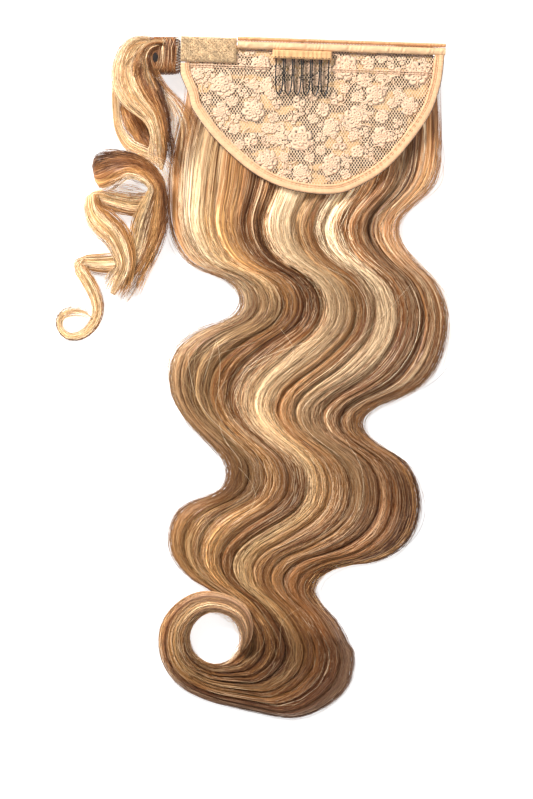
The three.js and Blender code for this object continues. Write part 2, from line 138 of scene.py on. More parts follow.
# Locks of the wrap strand: side, drop, height, width, lean
WRAP_LOCKS = {
    "hollow_wall": [
        (0.51, 0.193, 0.24, 0.16, 0), (0.38, 0.233, 0.16, 0.55, 0.2), (0.24, 0.276, 0.14, 0.72, 0.3),
        (0.12, 0.322, 0.18, 0.6, 0.2), (-0.02, 0.366, 0.28, 0.34, 0),
    ],
    "upper_back": [
        (0.46, 0.07, 0.56, 0.24, 0), (0.57, 0.15, 0.44, 0.2, 0.4), (0.59, 0.226, 0.34, 0.17, 0.5),
        (0.54, 0.3, 0.3, 0.2, 0.4), (0.37, 0.352, 0.34, 0.28, 0), (0.13, 0.379, 0.42, 0.28, 0),
        (-0.08, 0.4, 0.5, 0.22, 0), (-0.25, 0.43, 0.54, 0.12, 0),
    ],
    "upper_front": [
        (-0.06, 0.045, 0.5, 0.5, 0), (0.1, 0.036, 0.54, 0.66, 0), (0.24, 0.07, 0.62, 0.84, 0.2),
        (0.24, 0.135, 0.72, 1.04, 0.3), (0.1, 0.195, 0.8, 0.98, 0.3), (-0.13, 0.262, 0.76, 0.62, 0),
        (-0.215, 0.33, 0.68, 0.47, -0.2), (-0.23, 0.385, 0.58, 0.42, -0.2), (-0.21, 0.44, 0.48, 0.2, 0),
    ],
    "lower_back": [
        (-0.25, 0.515, 0.46, 0.3, 0), (0.014, 0.548, 0.34, 0.5, 0.2), (0.33, 0.555, 0.3, 0.52, 0.2),
        (0.65, 0.5415, 0.34, 0.47, 0.2), (0.91, 0.528, 0.42, 0.42, 0), (1.02, 0.535, 0.48, 0.3, 0),
    ],
    "lower_front": [
        (0.98, 0.453, 0.56, 0.98, 0), (0.8, 0.446, 0.64, 1.0, 0), (0.6, 0.434, 0.7, 0.88, 0.2),
        (0.33, 0.4286, 0.74, 0.64, 0.3), (0.04, 0.452, 0.72, 0.5, 0.3), (-0.15, 0.5, 0.66, 0.42, 0.3),
        (-0.1, 0.565, 0.52, 0.68, 0.2), (-0.01, 0.625, 0.4, 0.86, 0), (0.09, 0.69, 0.3, 0.76, 0),
        (0.23, 0.745, 0.22, 0.56, 0), (0.42, 0.79, 0.15, 0.58, 0), (0.55, 0.83, 0.1, 0.5, 0),
    ],
    "left_fold": [
        (1.02, 0.52, 0.48, 0.31, 0), (0.98, 0.571, 0.5, 0.47, 0.2), (0.84, 0.608, 0.5, 0.68, 0.3),
        (0.6, 0.654, 0.46, 0.68, 0.2), (0.46, 0.711, 0.38, 0.56, 0), (0.43, 0.76, 0.3, 0.46, 0),
        (0.54, 0.805, 0.2, 0.42, 0), (0.66, 0.85, 0.14, 0.3, 0),
    ],
    "end_lock": [
        (0.4, 0.741, 0.3, 0.5, 0), (0.68, 0.75, 0.2, 0.52, 0.2), (0.97, 0.75, 0.16, 0.46, 0.3),
        (1.2, 0.744, 0.2, 0.31, 0), (1.23, 0.766, 0.28, 0.28, 0), (1.09, 0.804, 0.3, 0.31, 0.2),
        (0.95, 0.857, 0.26, 0.29, 0), (0.91, 0.907, 0.22, 0.26, 0), (1.0, 0.953, 0.2, 0.235, 0),
        (1.21, 0.987, 0.16, 0.2, 0), (1.46, 0.99, 0.14, 0.157, 0), (1.6, 0.96, 0.14, 0.13, 0),
        (1.57, 0.924, 0.2, 0.144, 0), (1.39, 0.907, 0.25, 0.157, 0), (1.16, 0.91, 0.28, 0.12, 0),
        (1.02, 0.93, 0.3, 0.05, 0),
    ],
}
# Looks of each lock of the wrap strand: its first and last colour, how far both move along it,
# how many hairs it has, and whether it is fine at its start and at its end
WRAP_LOOKS = {
    "hollow_wall": (0.06, 0.46, 0.0, 120, True, True),
    "upper_back": (0.45, 0.9, 0.0, 80, True, True),
    "upper_front": (0.05, 0.95, 0.0, 280, False, True),
    "lower_back": (0.35, 0.9, 0.0, 130, False, False),
    "lower_front": (0.03, 0.44, 0.36, 280, False, True),
    "left_fold": (0.3, 0.9, 0.06, 170, False, True),
    "end_lock": (0.3, 0.8, 0.2, 120, False, True),
}
# Height of the tab's top in the columns of a lock
TAB_TOP = (tab_high.z + 0.4 * MM) / COIL_HEIGHT
# Loose hairs over the tab, to the fall and past the ends of the locks, in the same columns
WRAP_WISPS = {
    "tab_to_fall": [
        (0.0, 0.03, 0.74, 0.3, 0), (0.08, 0.07, 0.72, 0.24, 0), (-0.05, 0.125, 0.66, 0.24, 0),
        (-0.26, 0.18, 0.6, 0.2, 0), (-0.48, 0.235, 0.58, 0.3, 0), (-0.6, 0.3, 0.6, 0.5, 0),
        (-0.55, 0.4, 0.6, 0.5, 0),
    ],
    "under_hollow": [
        (0.4, 0.33, 0.3, 0.2, 0), (0.2, 0.375, 0.36, 0.4, 0), (-0.04, 0.4, 0.5, 0.5, 0),
        (-0.26, 0.43, 0.6, 0.5, 0), (-0.42, 0.5, 0.6, 0.3, 0),
    ],
    "gap_threads": [
        (0.9, 0.49, 0.4, 0.3, 0), (0.6, 0.5, 0.36, 0.4, 0), (0.3, 0.51, 0.36, 0.4, 0),
        (0.0, 0.52, 0.4, 0.3, 0),
    ],
    "lower_frays": [
        (0.16, 0.67, 0.26, 0.36, 0), (0.24, 0.72, 0.2, 0.46, 0), (0.38, 0.77, 0.14, 0.5, 0),
        (0.52, 0.82, 0.1, 0.5, 0), (0.66, 0.865, 0.07, 0.44, 0),
    ],
    "tab_outer_arcs": [
        (-0.3, 0.026, TAB_TOP, 0.06, 0), (-0.14, 0.022, TAB_TOP, 0.1, 0), (0.02, 0.034, TAB_TOP, 0.16, 0),
        (0.13, 0.06, TAB_TOP, 0.28, 0), (0.2, 0.1, TAB_TOP + 0.04, 0.46, 0), (0.24, 0.15, 0.72, 0.6, 0),
    ],
    "tab_inner_arcs": [
        (-0.2, 0.03, TAB_TOP, 0.08, 0), (-0.04, 0.04, TAB_TOP, 0.1, 0), (0.05, 0.07, TAB_TOP, 0.12, 0),
        (0.02, 0.11, TAB_TOP, 0.16, 0), (-0.07, 0.155, TAB_TOP + 0.02, 0.22, 0), (-0.2, 0.21, 0.66, 0.3, 0),
    ],
}
# Each group of loose hairs: how many, their radius in millimetres, first and last colour
WISP_LOOKS = {
    "tab_to_fall": (120, 0.07, 0.3, 0.9), "under_hollow": (60, 0.07, 0.3, 0.9),
    "gap_threads": (50, 0.07, 0.3, 0.9), "lower_frays": (110, 0.09, 0.45, 0.95),
    "tab_outer_arcs": (50, 0.11, 0.1, 0.6), "tab_inner_arcs": (40, 0.11, 0.2, 0.8),
}


def smooth_rows(rows, place):
    """Columns of a table at places between its rows, on a smooth curve through the rows."""
    rows = np.asarray(rows, float)
    last = len(rows) - 1
    place = np.clip(np.asarray(place, float), 0, last)
    row = np.minimum(place.astype(int), last - 1)
    share = (place - row)[..., None]
    a, b, c, d = (rows[np.clip(row + step, 0, last)] for step in (-1, 0, 1, 2))
    bend = (2 * a - 5 * b + 4 * c - d) * share + (3 * b - 3 * c + d - a) * share**2
    return b + share / 2 * (c - a + bend)


def evenly_curved(rows, fine):
    """Many rows for each row of a table, on one even curve however far apart the rows are."""
    rows = np.asarray(rows, float)
    last = len(rows) - 1
    middle = (rows[:, 0:2] + rows[:, 3:5]) / 2
    gaps = np.sqrt(np.linalg.norm(np.diff(middle, axis=0), axis=1))
    slopes = np.diff(rows, axis=0) / gaps[:, None]
    system = np.eye(last + 1)
    given = np.zeros_like(rows)
    for i in range(1, last):
        system[i, i - 1 : i + 2] = gaps[i - 1], 2 * (gaps[i - 1] + gaps[i]), gaps[i]
        given[i] = 6 * (slopes[i] - slopes[i - 1])
    bend = np.linalg.solve(system, given)
    place = np.arange(last * fine + 1) / fine
    row = np.minimum(place.astype(int), last - 1)
    share = (place - row)[:, None]
    gap = gaps[row][:, None]
    straight = rows[row] * (1 - share) + rows[row + 1] * share
    pull = ((1 - share) ** 3 - (1 - share)) * bend[row] + (share**3 - share) * bend[row + 1]
    return straight + pull * gap**2 / 6


class Flow:
    """Hair that runs between a left and a right edge, measured by its length."""

    def __init__(self, rows):
        self.rows = np.asarray(rows, float)
        self.places = np.linspace(0, len(rows) - 1, 600)
        at = smooth_rows(self.rows, self.places)
        middle = (at[:, 0:3] + at[:, 3:6]) / 2
        steps = np.linalg.norm(np.diff(middle, axis=0), axis=1)
        self.run = np.concatenate([[0], np.cumsum(steps)])
        self.length = self.run[-1]

    def row_at(self, t):
        return np.interp(np.clip(t, 0, 1) * self.length, self.run, self.places)

    def at(self, t):
        row = smooth_rows(self.rows, self.row_at(t))
        return row[..., 0:3], row[..., 3:6], row[..., 6]

    def points(self, across, t):
        """Points at a share across and t along, with the height or thickness there."""
        left, right, height = self.at(t)
        across = across[..., None]
        return left * (1 - across) + right * across, height


def rounded(u):
    """Height of a rounded section at a share u across it."""
    return np.sqrt(np.maximum(0, 1 - (2 * u - 1) ** 4))


def boxy(wave, power):
    """A sine or cosine drawn out towards a square section."""
    return np.sign(wave) * np.abs(wave) ** power


def steps_along(count):
    """One row of even steps from 0 to 1."""
    return np.linspace(0, 1, count)[None, :]


def ring_row(degrees, outer, lift, height):
    out = Vector((math.cos(math.radians(degrees)), -math.sin(math.radians(degrees)), 0))
    inner_edge = ring_middle + out * RING_RADIUS
    outer_edge = ring_middle + out * RING_RADIUS * outer
    inner_edge.z = outer_edge.z = lift * FALL_HEIGHT
    return [*inner_edge, *outer_edge, height * FALL_HEIGHT]


def fall_flow():
    rows = [
        [corner.x + la * BASE_WIDTH, corner.y - ld * FALL_LENGTH, 0,
         corner.x + ra * BASE_WIDTH, corner.y - rd * FALL_LENGTH, 0, height * FALL_HEIGHT]
        for la, ld, ra, rd, height in BENDS
    ]
    rows += [ring_row(*turn) for turn in RING_TURNS + RING_END]
    return Flow(evenly_curved(rows, FINE_ROWS))


def lock_flow(rows):
    """Edges of a lock of the wrap strand, half its width to each side of its middle."""
    start = Vector((tab_low.x - GAP, corner.y, 0))
    drawn = [
        [start.x - side * COIL_DIAMETER, start.y - drop * STRAND_DROP, height * COIL_HEIGHT, width, lean]
        for side, drop, height, width, lean in rows
    ]
    fine = smooth_rows(drawn, np.linspace(0, len(rows) - 1, 6 * len(rows)))
    middles, widths = fine[:, 0:3], fine[:, 3:4] * RIBBON_WIDTH
    along = np.gradient(middles, axis=0)
    across = np.stack([-along[:, 1], along[:, 0], 0 * along[:, 0]], axis=1)
    across /= np.linalg.norm(across, axis=1)[:, None]
    across[:, 2] = -fine[:, 4]
    half = across * widths / 2
    thick = np.clip(widths * 0.3, LOCK_THIN, LOCK_THICK)
    middles[:, 2] = np.maximum(middles[:, 2], LOCK_MIDDLE + np.abs(half[:, 2]))
    return Flow(np.hstack([middles + half, middles - half, thick]))


def ripple(u, t, waves, depth, turns, seed):
    """Ridges that run along the hair and wander slowly."""
    rng = np.random.default_rng(seed)
    wander = 0.0
    for k in range(1, 4):
        size = rng.uniform(0.2, 0.5) / k
        bow = np.sin(TURN * (k * turns * t + u * rng.uniform(1, 3) + rng.random()))
        wander = wander + size * bow
    ridge = np.abs(np.sin(math.pi * (u * waves + wander)))
    return depth * (ridge**0.6 - 0.6)


def lock_profile(u, t):
    """Shade of a groove between the big locks, from 0 on a lock to 1 in a groove."""
    nearest = np.full(np.shape(u), 1.0)
    for i, edge in enumerate(LOCK_EDGES[1:-1], 1):
        place = edge + 0.015 * np.sin(14 * t + 2 * i)
        nearest = np.minimum(nearest, np.abs(u - place))
    return np.exp(-((nearest / 0.018) ** 2))


def wave_lift(flow, u, t):
    """Rise of the hair between its turns and its dip at them, from -1 to 1."""
    row = flow.row_at(t) / FINE_ROWS + 0.5 * (u - 0.5)
    turn = np.interp(row, TURN_ROWS, range(len(TURN_ROWS)))
    return -np.cos(TURN * turn) * np.clip(t * 7 - 0.6, 0, 1) * np.clip(6 * (1 - t), 0, 1)


def fall_surface(flow, u, t):
    """Top of the fall at a share u across and t along."""
    point, height = flow.points(u, t)
    inside = np.clip(u, 0, 1)
    crown = 0.24 + 0.76 * rounded(inside)
    groove = 1 - 0.24 * lock_profile(inside, t)
    thin = np.minimum(1, height / (7 * MM))
    fine = ripple(inside, t, 25, 1.5 * MM, 2.6, 3) + ripple(inside, t, 58, 0.8 * MM, 3.4, 4)
    fine = fine * (1 - 0.35 * np.clip(5 * t - 2.6, 0, 1))
    edge = np.minimum(1, 12 * np.minimum(inside, 1 - inside) + 0.15)
    top = height * crown * groove + (fine + 3.0 * MM * wave_lift(flow, inside, t)) * edge * thin
    under_base = BASE_ROOM + 5 * MM * np.clip((t - 0.18) * 12, 0, 1)
    point[..., 2] += np.clip(top, 1.2 * MM, under_base)
    return point


def mesh_from(bm, name):
    mesh = bpy.data.meshes.new(name)
    bm.to_mesh(mesh)
    bm.free()
    return mesh


def unit_grid(across, along):
    """A square grid one unit wide round the origin, with its UV map."""
    bm = bmesh.new()
    bm.loops.layers.uv.new("UVMap")
    bmesh.ops.create_grid(bm, x_segments=across, y_segments=along, size=0.5, calc_uvs=True)
    return bm


def tube_mesh(name, around, along):
    """A closed tube one unit long, whose UV map goes once round and once along."""
    bm = unit_grid(around, along)
    for vert in bm.verts:
        angle = TURN * (vert.co.x + 0.5)
        vert.co = (math.cos(angle), math.sin(angle), vert.co.y + 0.5)
    bmesh.ops.remove_doubles(bm, verts=bm.verts, dist=1e-5)
    open_edges = [edge for edge in bm.edges if edge.is_boundary]
    bmesh.ops.holes_fill(bm, edges=open_edges, sides=0)
    for face in bm.faces:
        face.smooth = len(face.verts) <= 4
    return mesh_from(bm, name)


def ring_mesh(name, around, section):
    """A closed ring; its coordinates tell how far round it and round its section a vertex lies."""
    bm = unit_grid(around, section)
    for vert in bm.verts:
        angle, turn = TURN * (vert.co.x + 0.5), TURN * (vert.co.y + 0.5)
        reach = 2 + math.cos(turn)
        vert.co = (math.cos(angle) * reach, math.sin(angle) * reach, math.sin(turn))
    bmesh.ops.remove_doubles(bm, verts=bm.verts, dist=1e-5)
    for face in bm.faces:
        face.smooth = True
    return mesh_from(bm, name)


def copies_of(template, name, count):
    """A mesh of many copies of a template, and the vertices in each; the template is removed."""
    bm = bmesh.new()
    for _ in range(count):
        bm.from_mesh(template)
    each = len(template.vertices)
    bpy.data.meshes.remove(template)
    return mesh_from(bm, name), each


def coordinates(mesh):
    co = np.empty(len(mesh.vertices) * 3, np.float32)
    mesh.vertices.foreach_get("co", co)
    return co.reshape(-1, 3).astype(float)


def round_and_along(mesh):
    """How far round and along the tube each vertex lies, both from 0 to 1."""
    co = coordinates(mesh)
    around = np.round(np.arctan2(co[:, 1], co[:, 0]) / TURN, 6) % 1
    return around, co[:, 2]


def unit_tube(name, around, along):
    mesh = tube_mesh(name, around, along)
    return mesh, *round_and_along(mesh)


def shaped_piece(mesh, points, u, v, look, slot):
    """A piece whose vertices lie at the points, with u and v as their places in the UV map."""
    mesh.vertices.foreach_set("co", np.asarray(points, np.float32).ravel())
    mesh.update()
    mesh.calc_loop_triangles()
    tris = np.empty(len(mesh.loop_triangles) * 3, int)
    mesh.loop_triangles.foreach_get("vertices", tris)
    a, b, c = (points[tris.reshape(-1, 3)[:, i]] for i in range(3))
    if np.einsum("ij,ij->i", a, np.cross(b, c)).sum() < 0:
        mesh.flip_normals()
    corners = np.empty(len(mesh.loops), int)
    mesh.loops.foreach_get("vertex_index", corners)
    uv = np.stack([u[corners], v[corners]], axis=1)
    mesh.uv_layers[0].data.foreach_set("uv", uv.astype(np.float32).ravel())
    return add_piece(mesh, look, slot)


def link_new(name, data):
    item = bpy.data.objects.new(name, data)
    bpy.context.scene.collection.objects.link(item)
    return item


def add_piece(mesh, look, slot):
    """An object that has its mesh's name and rides on the root."""
    piece = link_new(mesh.name, mesh)
    mesh.materials.clear()
    mesh.materials.append(look)
    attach(piece, "root")
    return piece


# Materials


class Nodes:
    """Adds and links the nodes of one material or group."""

    def __init__(self, tree):
        self.tree = tree

    def link(self, value, node, key):
        self.tree.links.new(value, node.inputs[key])

    def add(self, kind, inputs=None, **settings):
        node = self.tree.nodes.new(kind)
        for key, value in settings.items():
            setattr(node, key, value)
        for key, value in (inputs or {}).items():
            if isinstance(value, bpy.types.NodeSocket):
                self.link(value, node, key)
            else:
                node.inputs[key].default_value = value
        return node

    def math(self, operation, first, second=0.0, clamp=False):
        values = {0: first, 1: second}
        return self.add("ShaderNodeMath", values, operation=operation, use_clamp=clamp).outputs[0]

    def mix(self, blend, factor, first, second):
        values = {0: factor, 6: first, 7: second}
        return self.add("ShaderNodeMix", values, data_type="RGBA", blend_type=blend).outputs[2]

    def object_place(self):
        return self.add("ShaderNodeTexCoord").outputs["Object"]

    def noise(self, place, scale, detail=2.0, **settings):
        values = {"Vector": place, "Scale": scale, "Detail": detail}
        return self.add("ShaderNodeTexNoise", values, **settings).outputs[0]

    def wave(self, place, scale, distortion, direction):
        values = {"Vector": place, "Scale": scale, "Distortion": distortion}
        return self.add("ShaderNodeTexWave", values, bands_direction=direction).outputs["Fac"]

    def map_range(self, value, low, high, first=0.0, last=1.0):
        values = {0: value, 1: low, 2: high, 3: first, 4: last}
        return self.add("ShaderNodeMapRange", values).outputs[0]

    def ramp(self, value, stops, smooth="LINEAR"):
        node = self.add("ShaderNodeValToRGB", {0: value})
        node.color_ramp.interpolation = smooth
        while len(node.color_ramp.elements) < len(stops):
            node.color_ramp.elements.new(1.0)
        for element, (place, color) in zip(node.color_ramp.elements, stops):
            element.position = place
            element.color = (*color, 1)
        return node.outputs[0]


def material(name, roughness, metallic=0.0):
    made = bpy.data.materials.new(name)
    made.use_nodes = True
    nodes = Nodes(made.node_tree)
    shader = made.node_tree.nodes["Principled BSDF"]
    shader.inputs["Roughness"].default_value = roughness
    shader.inputs["Metallic"].default_value = metallic
    return made, nodes, shader


def bump(nodes, shader, height, strength, distance):
    values = {"Height": height, "Strength": strength, "Distance": distance}
    nodes.link(nodes.add("ShaderNodeBump", values).outputs[0], shader, "Normal")


def number_group(name, given, made):
    """A node group with number sockets of the given names."""
    group = bpy.data.node_groups.new(name, "ShaderNodeTree")
    for direction, sockets in (("INPUT", given), ("OUTPUT", made)):
        for socket in sockets:
            group.interface.new_socket(socket, in_out=direction, socket_type="NodeSocketFloat")
    nodes = Nodes(group)
    return nodes, nodes.add("NodeGroupInput").outputs, nodes.add("NodeGroupOutput")


# Noise along the hair: share of the hairs across, stretch along, detail
HAIR_GRAIN = (("Hair", 1.0, 3.0, 3.0), ("Lock", 0.25, 2.4, 2.0), ("Drift", 0.05, 3.4, 1.0))


def hair_grain_group():
    """Single hairs and small locks as lines along the hair's own length."""
    sockets = ("Across", "Along", "Hairs"), ("Hair", "Lock", "Drift")
    nodes, given, out = number_group("hair_grain", *sockets)
    for name, share, along, detail in HAIR_GRAIN:
        hairs = nodes.math("MULTIPLY", given["Across"], given["Hairs"])
        x = nodes.math("MULTIPLY", hairs, share)
        y = nodes.math("MULTIPLY", given["Along"], along)
        place = nodes.add("ShaderNodeCombineXYZ", {0: x, 1: y}).outputs[0]
        nodes.link(nodes.noise(place, 1.0, detail, noise_dimensions="2D"), out, name)
    return nodes.tree


def weave_group():
    """Crossing threads of a woven tape, as a height from 0 to 1."""
    nodes, given, out = number_group("tape_weave", ("Threads",), ("Height",))
    place = nodes.object_place()
    waves = [nodes.wave(place, given["Threads"], 0.6, direction) for direction in ("X", "Y")]
    nodes.link(nodes.math("MULTIPLY", *waves), out, "Height")
    return nodes.tree


GRAIN = hair_grain_group()
WEAVE = weave_group()


def shade(red, green, blue):
    """A colour given from 0 to 255 as a screen shows it."""
    return tuple(((c / 255 + 0.055) / 1.055) ** 2.4 for c in (red, green, blue))


CREAM = shade(252, 238, 208)
PALE = shade(240, 216, 170)
GOLD = shade(220, 177, 118)
CARAMEL = shade(187, 135, 84)
CHESTNUT = shade(140, 94, 57)
BROWN = shade(94, 61, 38)
DUSK = shade(164, 121, 76)
# Pale tint of the painted highlight on the ring curl
PAINTED_HIGHLIGHT_TINT = shade(236, 218, 202)

# Colours of the fall from its left edge to its right, above and below its middle
UPPER_STRIPES = [
    (0.0, CREAM), (0.025, CARAMEL), (0.045, CHESTNUT), (0.075, CREAM), (0.115, PALE), (0.14, CHESTNUT),
    (0.165, PALE), (0.2, CHESTNUT), (0.235, GOLD), (0.27, CARAMEL), (0.31, CHESTNUT), (0.36, BROWN),
    (0.4, CARAMEL), (0.43, CREAM), (0.51, CREAM), (0.55, GOLD), (0.59, CARAMEL), (0.635, CHESTNUT),
    (0.67, CREAM), (0.755, CREAM), (0.785, CHESTNUT), (0.815, CARAMEL), (0.84, CREAM), (0.865, CHESTNUT),
    (0.9, BROWN), (0.93, CARAMEL), (0.95, CREAM), (0.97, CHESTNUT), (1.0, CARAMEL),
]
LOWER_STRIPES = [
    (0.0, GOLD), (0.05, DUSK), (0.1, PALE), (0.15, DUSK), (0.21, CHESTNUT), (0.27, GOLD), (0.34, CHESTNUT),
    (0.4, DUSK), (0.46, PALE), (0.53, GOLD), (0.6, CHESTNUT), (0.66, GOLD), (0.71, DUSK),
    (0.78, CHESTNUT), (0.85, CARAMEL), (0.92, CHESTNUT), (0.97, DUSK), (1.0, GOLD),
]
RIBBON_STRIPES = [
    (0.0, CHESTNUT), (0.07, BROWN), (0.14, CARAMEL), (0.2, CHESTNUT), (0.28, CARAMEL), (0.36, GOLD),
    (0.42, CARAMEL), (0.5, CREAM), (0.6, PALE), (0.68, GOLD), (0.76, CREAM), (0.85, GOLD), (0.93, CREAM),
    (1.0, PALE),
]
# Painted shade and highlight along the fall's length: darker in the hollows of its waves, lighter between
# them
FALL_PAINTED_SHADE = [
    (0.0, 0.98), (0.14, 1.16), (0.28, 0.74), (0.4, 0.9), (0.51, 0.72), (0.6, 1.04), (0.7, 0.68),
    (0.77, 0.72), (0.86, 0.92), (0.94, 1.2),
]
# Where the outer edge of the last bend gets a pale painted highlight
HIGHLIGHT_RIM_ALONG = [(0.62, (0, 0, 0)), (0.7, (1, 1, 1)), (0.8, (1, 1, 1)), (0.88, (0, 0, 0))]
HIGHLIGHT_RIM_ACROSS = [(0.82, (0, 0, 0)), (0.93, (0.4, 0.4, 0.4)), (1.0, (1, 1, 1))]
# Tones that the three noises of the hair's grain are multiplied in with
HAIR_TONES = [(0.28, (0.36, 0.26, 0.18)), (0.46, (0.94, 0.9, 0.86)), (0.7, (1.3, 1.3, 1.3))]
LOCK_TONES = [(0.34, (0.5, 0.37, 0.28)), (0.48, (1, 0.98, 0.95)), (0.64, (1.35, 1.33, 1.28))]
DRIFT_TONES = [(0.36, (0.62, 0.5, 0.4)), (0.6, (1.25, 1.22, 1.18))]
# Tone of the painted shade on the fall where it lies under the base
UNDER_BASE_SHADE_TONE = (0.5, 0.4, 0.32, 1)


def hair_material(name, hairs, stripes, lower=None, under_base_shade=0.0, light=0.5):
    """Streaks across and single hairs along; the fall has lower stripes too, with painted shade and
    highlights along its length and painted shade under the base.
    """
    made, nodes, shader = material(name, 0.4)
    uv = nodes.add("ShaderNodeUVMap", uv_map="UVMap").outputs[0]
    across, along, _z = nodes.add("ShaderNodeSeparateXYZ", {0: uv}).outputs
    values = {"Across": across, "Along": along, "Hairs": hairs}
    grain = nodes.add("ShaderNodeGroup", values, node_tree=GRAIN).outputs
    hair, lock, drift = (grain[key] for key in ("Hair", "Lock", "Drift"))
    place = across
    for noise, reach in ((drift, 0.15), (lock, 0.1), (hair, 0.06)):
        wander = nodes.math("MULTIPLY", nodes.math("SUBTRACT", noise, 0.5), reach)
        place = nodes.math("ADD", place, wander, clamp=True)
    color = nodes.ramp(place, stripes)
    if lower:
        fade = nodes.map_range(along, 0.3, 0.54)
        color = nodes.mix("MIX", fade, color, nodes.ramp(place, lower))
        # Painted shade and highlight along the fall's length
        painted_shade = nodes.ramp(along, [(t, (k, k**1.3, k**1.6)) for t, k in FALL_PAINTED_SHADE], "EASE")
        color = nodes.mix("MULTIPLY", 1.0, color, painted_shade)
        # Painted highlight: the outer edge of the last bend and the ring's top and end are mixed towards a
        # pale tint
        highlight_rim = nodes.mix("MULTIPLY", 1.0, nodes.ramp(along, HIGHLIGHT_RIM_ALONG), nodes.ramp(across, HIGHLIGHT_RIM_ACROSS))
        ends = nodes.map_range(along, 0.88, 0.94, last=0.3)
        painted_highlight = nodes.math("ADD", nodes.math("MULTIPLY", highlight_rim, 0.6), ends, clamp=True)
        color = nodes.mix("MIX", painted_highlight, color, (*PAINTED_HIGHLIGHT_TINT, 1))
    color = nodes.mix("MULTIPLY", 1.0, color, nodes.ramp(hair, HAIR_TONES))
    # Pale hairs, partly a painted sheen: cream mixed in where the fine grain is lightest
    pale_hairs_and_sheen = nodes.map_range(hair, 0.55, 0.7, last=light)
    color = nodes.mix("MIX", pale_hairs_and_sheen, color, (*CREAM, 1))
    color = nodes.mix("MULTIPLY", 0.8, color, nodes.ramp(lock, LOCK_TONES))
    color = nodes.mix("MULTIPLY", 1.0, color, nodes.ramp(drift, DRIFT_TONES))
    # Painted shade: the first part of the fall, which lies under the base, is darker
    if under_base_shade:
        dark = nodes.map_range(along, 0.0, under_base_shade)
        color = nodes.mix("MIX", dark, nodes.mix("MULTIPLY", 0.5, color, UNDER_BASE_SHADE_TONE), color)
    nodes.link(color, shader, "Base Color")
    shader.inputs["Specular IOR Level"].default_value = 0.35
    bump(nodes, shader, hair, 0.35, 0.4 * MM)
    return made


def cloth_material(name, color, threads, variety=0.12, roughness=0.85, relief=0.5):
    """Woven cloth or thread, a little uneven in its colour."""
    made, nodes, shader = material(name, roughness)
    noise = nodes.noise(nodes.object_place(), 220.0, 4.0)
    weave = nodes.add("ShaderNodeGroup", {"Threads": threads}, node_tree=WEAVE).outputs[0]
    dark = tuple(c * (1 - 2.2 * variety) for c in color)
    threads_dark = nodes.ramp(weave, [(0.0, (0.6, 0.55, 0.5)), (0.6, (1, 1, 1))])
    cloth = nodes.mix("MULTIPLY", 0.35, nodes.ramp(noise, [(0.3, dark), (0.65, color)]), threads_dark)
    nodes.link(cloth, shader, "Base Color")
    shader.inputs["Sheen Weight"].default_value = 0.3
    bump(nodes, shader, nodes.math("ADD", weave, noise), relief, 0.25 * MM)
    return made


def net_material():
    """Fine diamond net, clear between its threads."""
    made, nodes, shader = material("lace_net", 0.85)
    place = nodes.object_place()
    threads = []
    for angle in (33, -33):
        turned = nodes.add("ShaderNodeMapping", {0: place, 2: (0, 0, math.radians(angle))}).outputs[0]
        threads.append(nodes.wave(turned, 215.0, 0.3, "X"))
    net = nodes.math("MAXIMUM", *threads)
    colors = [(0.3, shade(222, 184, 144)), (0.7, shade(248, 218, 184))]
    nodes.link(nodes.ramp(nodes.noise(place, 300.0), colors), shader, "Base Color")
    nodes.link(nodes.map_range(net, 0.84, 0.96), shader, "Alpha")
    bump(nodes, shader, net, 0.4, 0.1 * MM)
    return made


def patchy_weft_material():
    """Hair dyed in lengths, brown beside blond."""
    made, nodes, shader = material("patchy_weft", 0.5)
    place = nodes.object_place()
    stretched = nodes.add("ShaderNodeMapping", {0: place, 3: (44, 105, 1)}).outputs[0]
    patch = nodes.noise(stretched, 1.0)
    lines = nodes.add("ShaderNodeMapping", {0: place, 3: (160, 1900, 1)}).outputs[0]
    hair = nodes.noise(lines, 1.0, 3.0)
    patches = [
        (0.46, shade(88, 70, 58)), (0.52, shade(116, 94, 74)),
        (0.55, shade(224, 184, 124)), (0.7, shade(240, 206, 150)),
    ]
    hairs = nodes.ramp(hair, [(0.35, (0.5, 0.46, 0.42)), (0.6, (1.1, 1.08, 1.05))])
    nodes.link(nodes.mix("MULTIPLY", 0.7, nodes.ramp(patch, patches), hairs), shader, "Base Color")
    bump(nodes, shader, hair, 0.5, 0.3 * MM)
    return made


def metal_material():
    made, nodes, shader = material("comb_wire_metal", 0.32, 0.85)
    noise = nodes.noise(nodes.object_place(), 900.0, 3.0)
    colors = [(0.3, (0.02, 0.02, 0.021)), (0.7, (0.06, 0.058, 0.058))]
    nodes.link(nodes.ramp(noise, colors), shader, "Base Color")
    nodes.link(nodes.map_range(noise, 0.0, 1.0, 0.22, 0.46), shader, "Roughness")
    return made


# Near-black colour of the painted shadow in the tab's hollow
def hollow_shadow_material():
    made, _nodes, shader = material("tab_shadow", 0.9)
    shader.inputs["Base Color"].default_value = (*shade(26, 16, 11), 1)
    return made


HAIR = hair_material("streaked_hair", 140.0, UPPER_STRIPES, LOWER_STRIPES, 0.1, 0.45)
RIBBON_HAIR = hair_material("strand_hair", 58.0, RIBBON_STRIPES, light=0.26)
ROOT_STRIPES = [(0.0, BROWN), (0.4, CHESTNUT), (0.7, BROWN), (0.86, CHESTNUT), (1.0, CARAMEL)]
ROOT_HAIR = hair_material("root_hair", 120.0, ROOT_STRIPES, light=0.06)
TAPE = cloth_material("peach_tape", shade(246, 196, 150), 330.0, variety=0.08)
BAND_UPPER = cloth_material("band_satin_upper", shade(236, 168, 112), 380.0, roughness=0.6)
BAND_LOWER = cloth_material("band_satin_lower", shade(248, 202, 154), 380.0, roughness=0.6)
SLEEVE = cloth_material("sleeve_tape", shade(232, 180, 124), 330.0)
FLOWER = cloth_material("flower_thread", shade(245, 206, 171), 520.0, variety=0.08, relief=0.1)
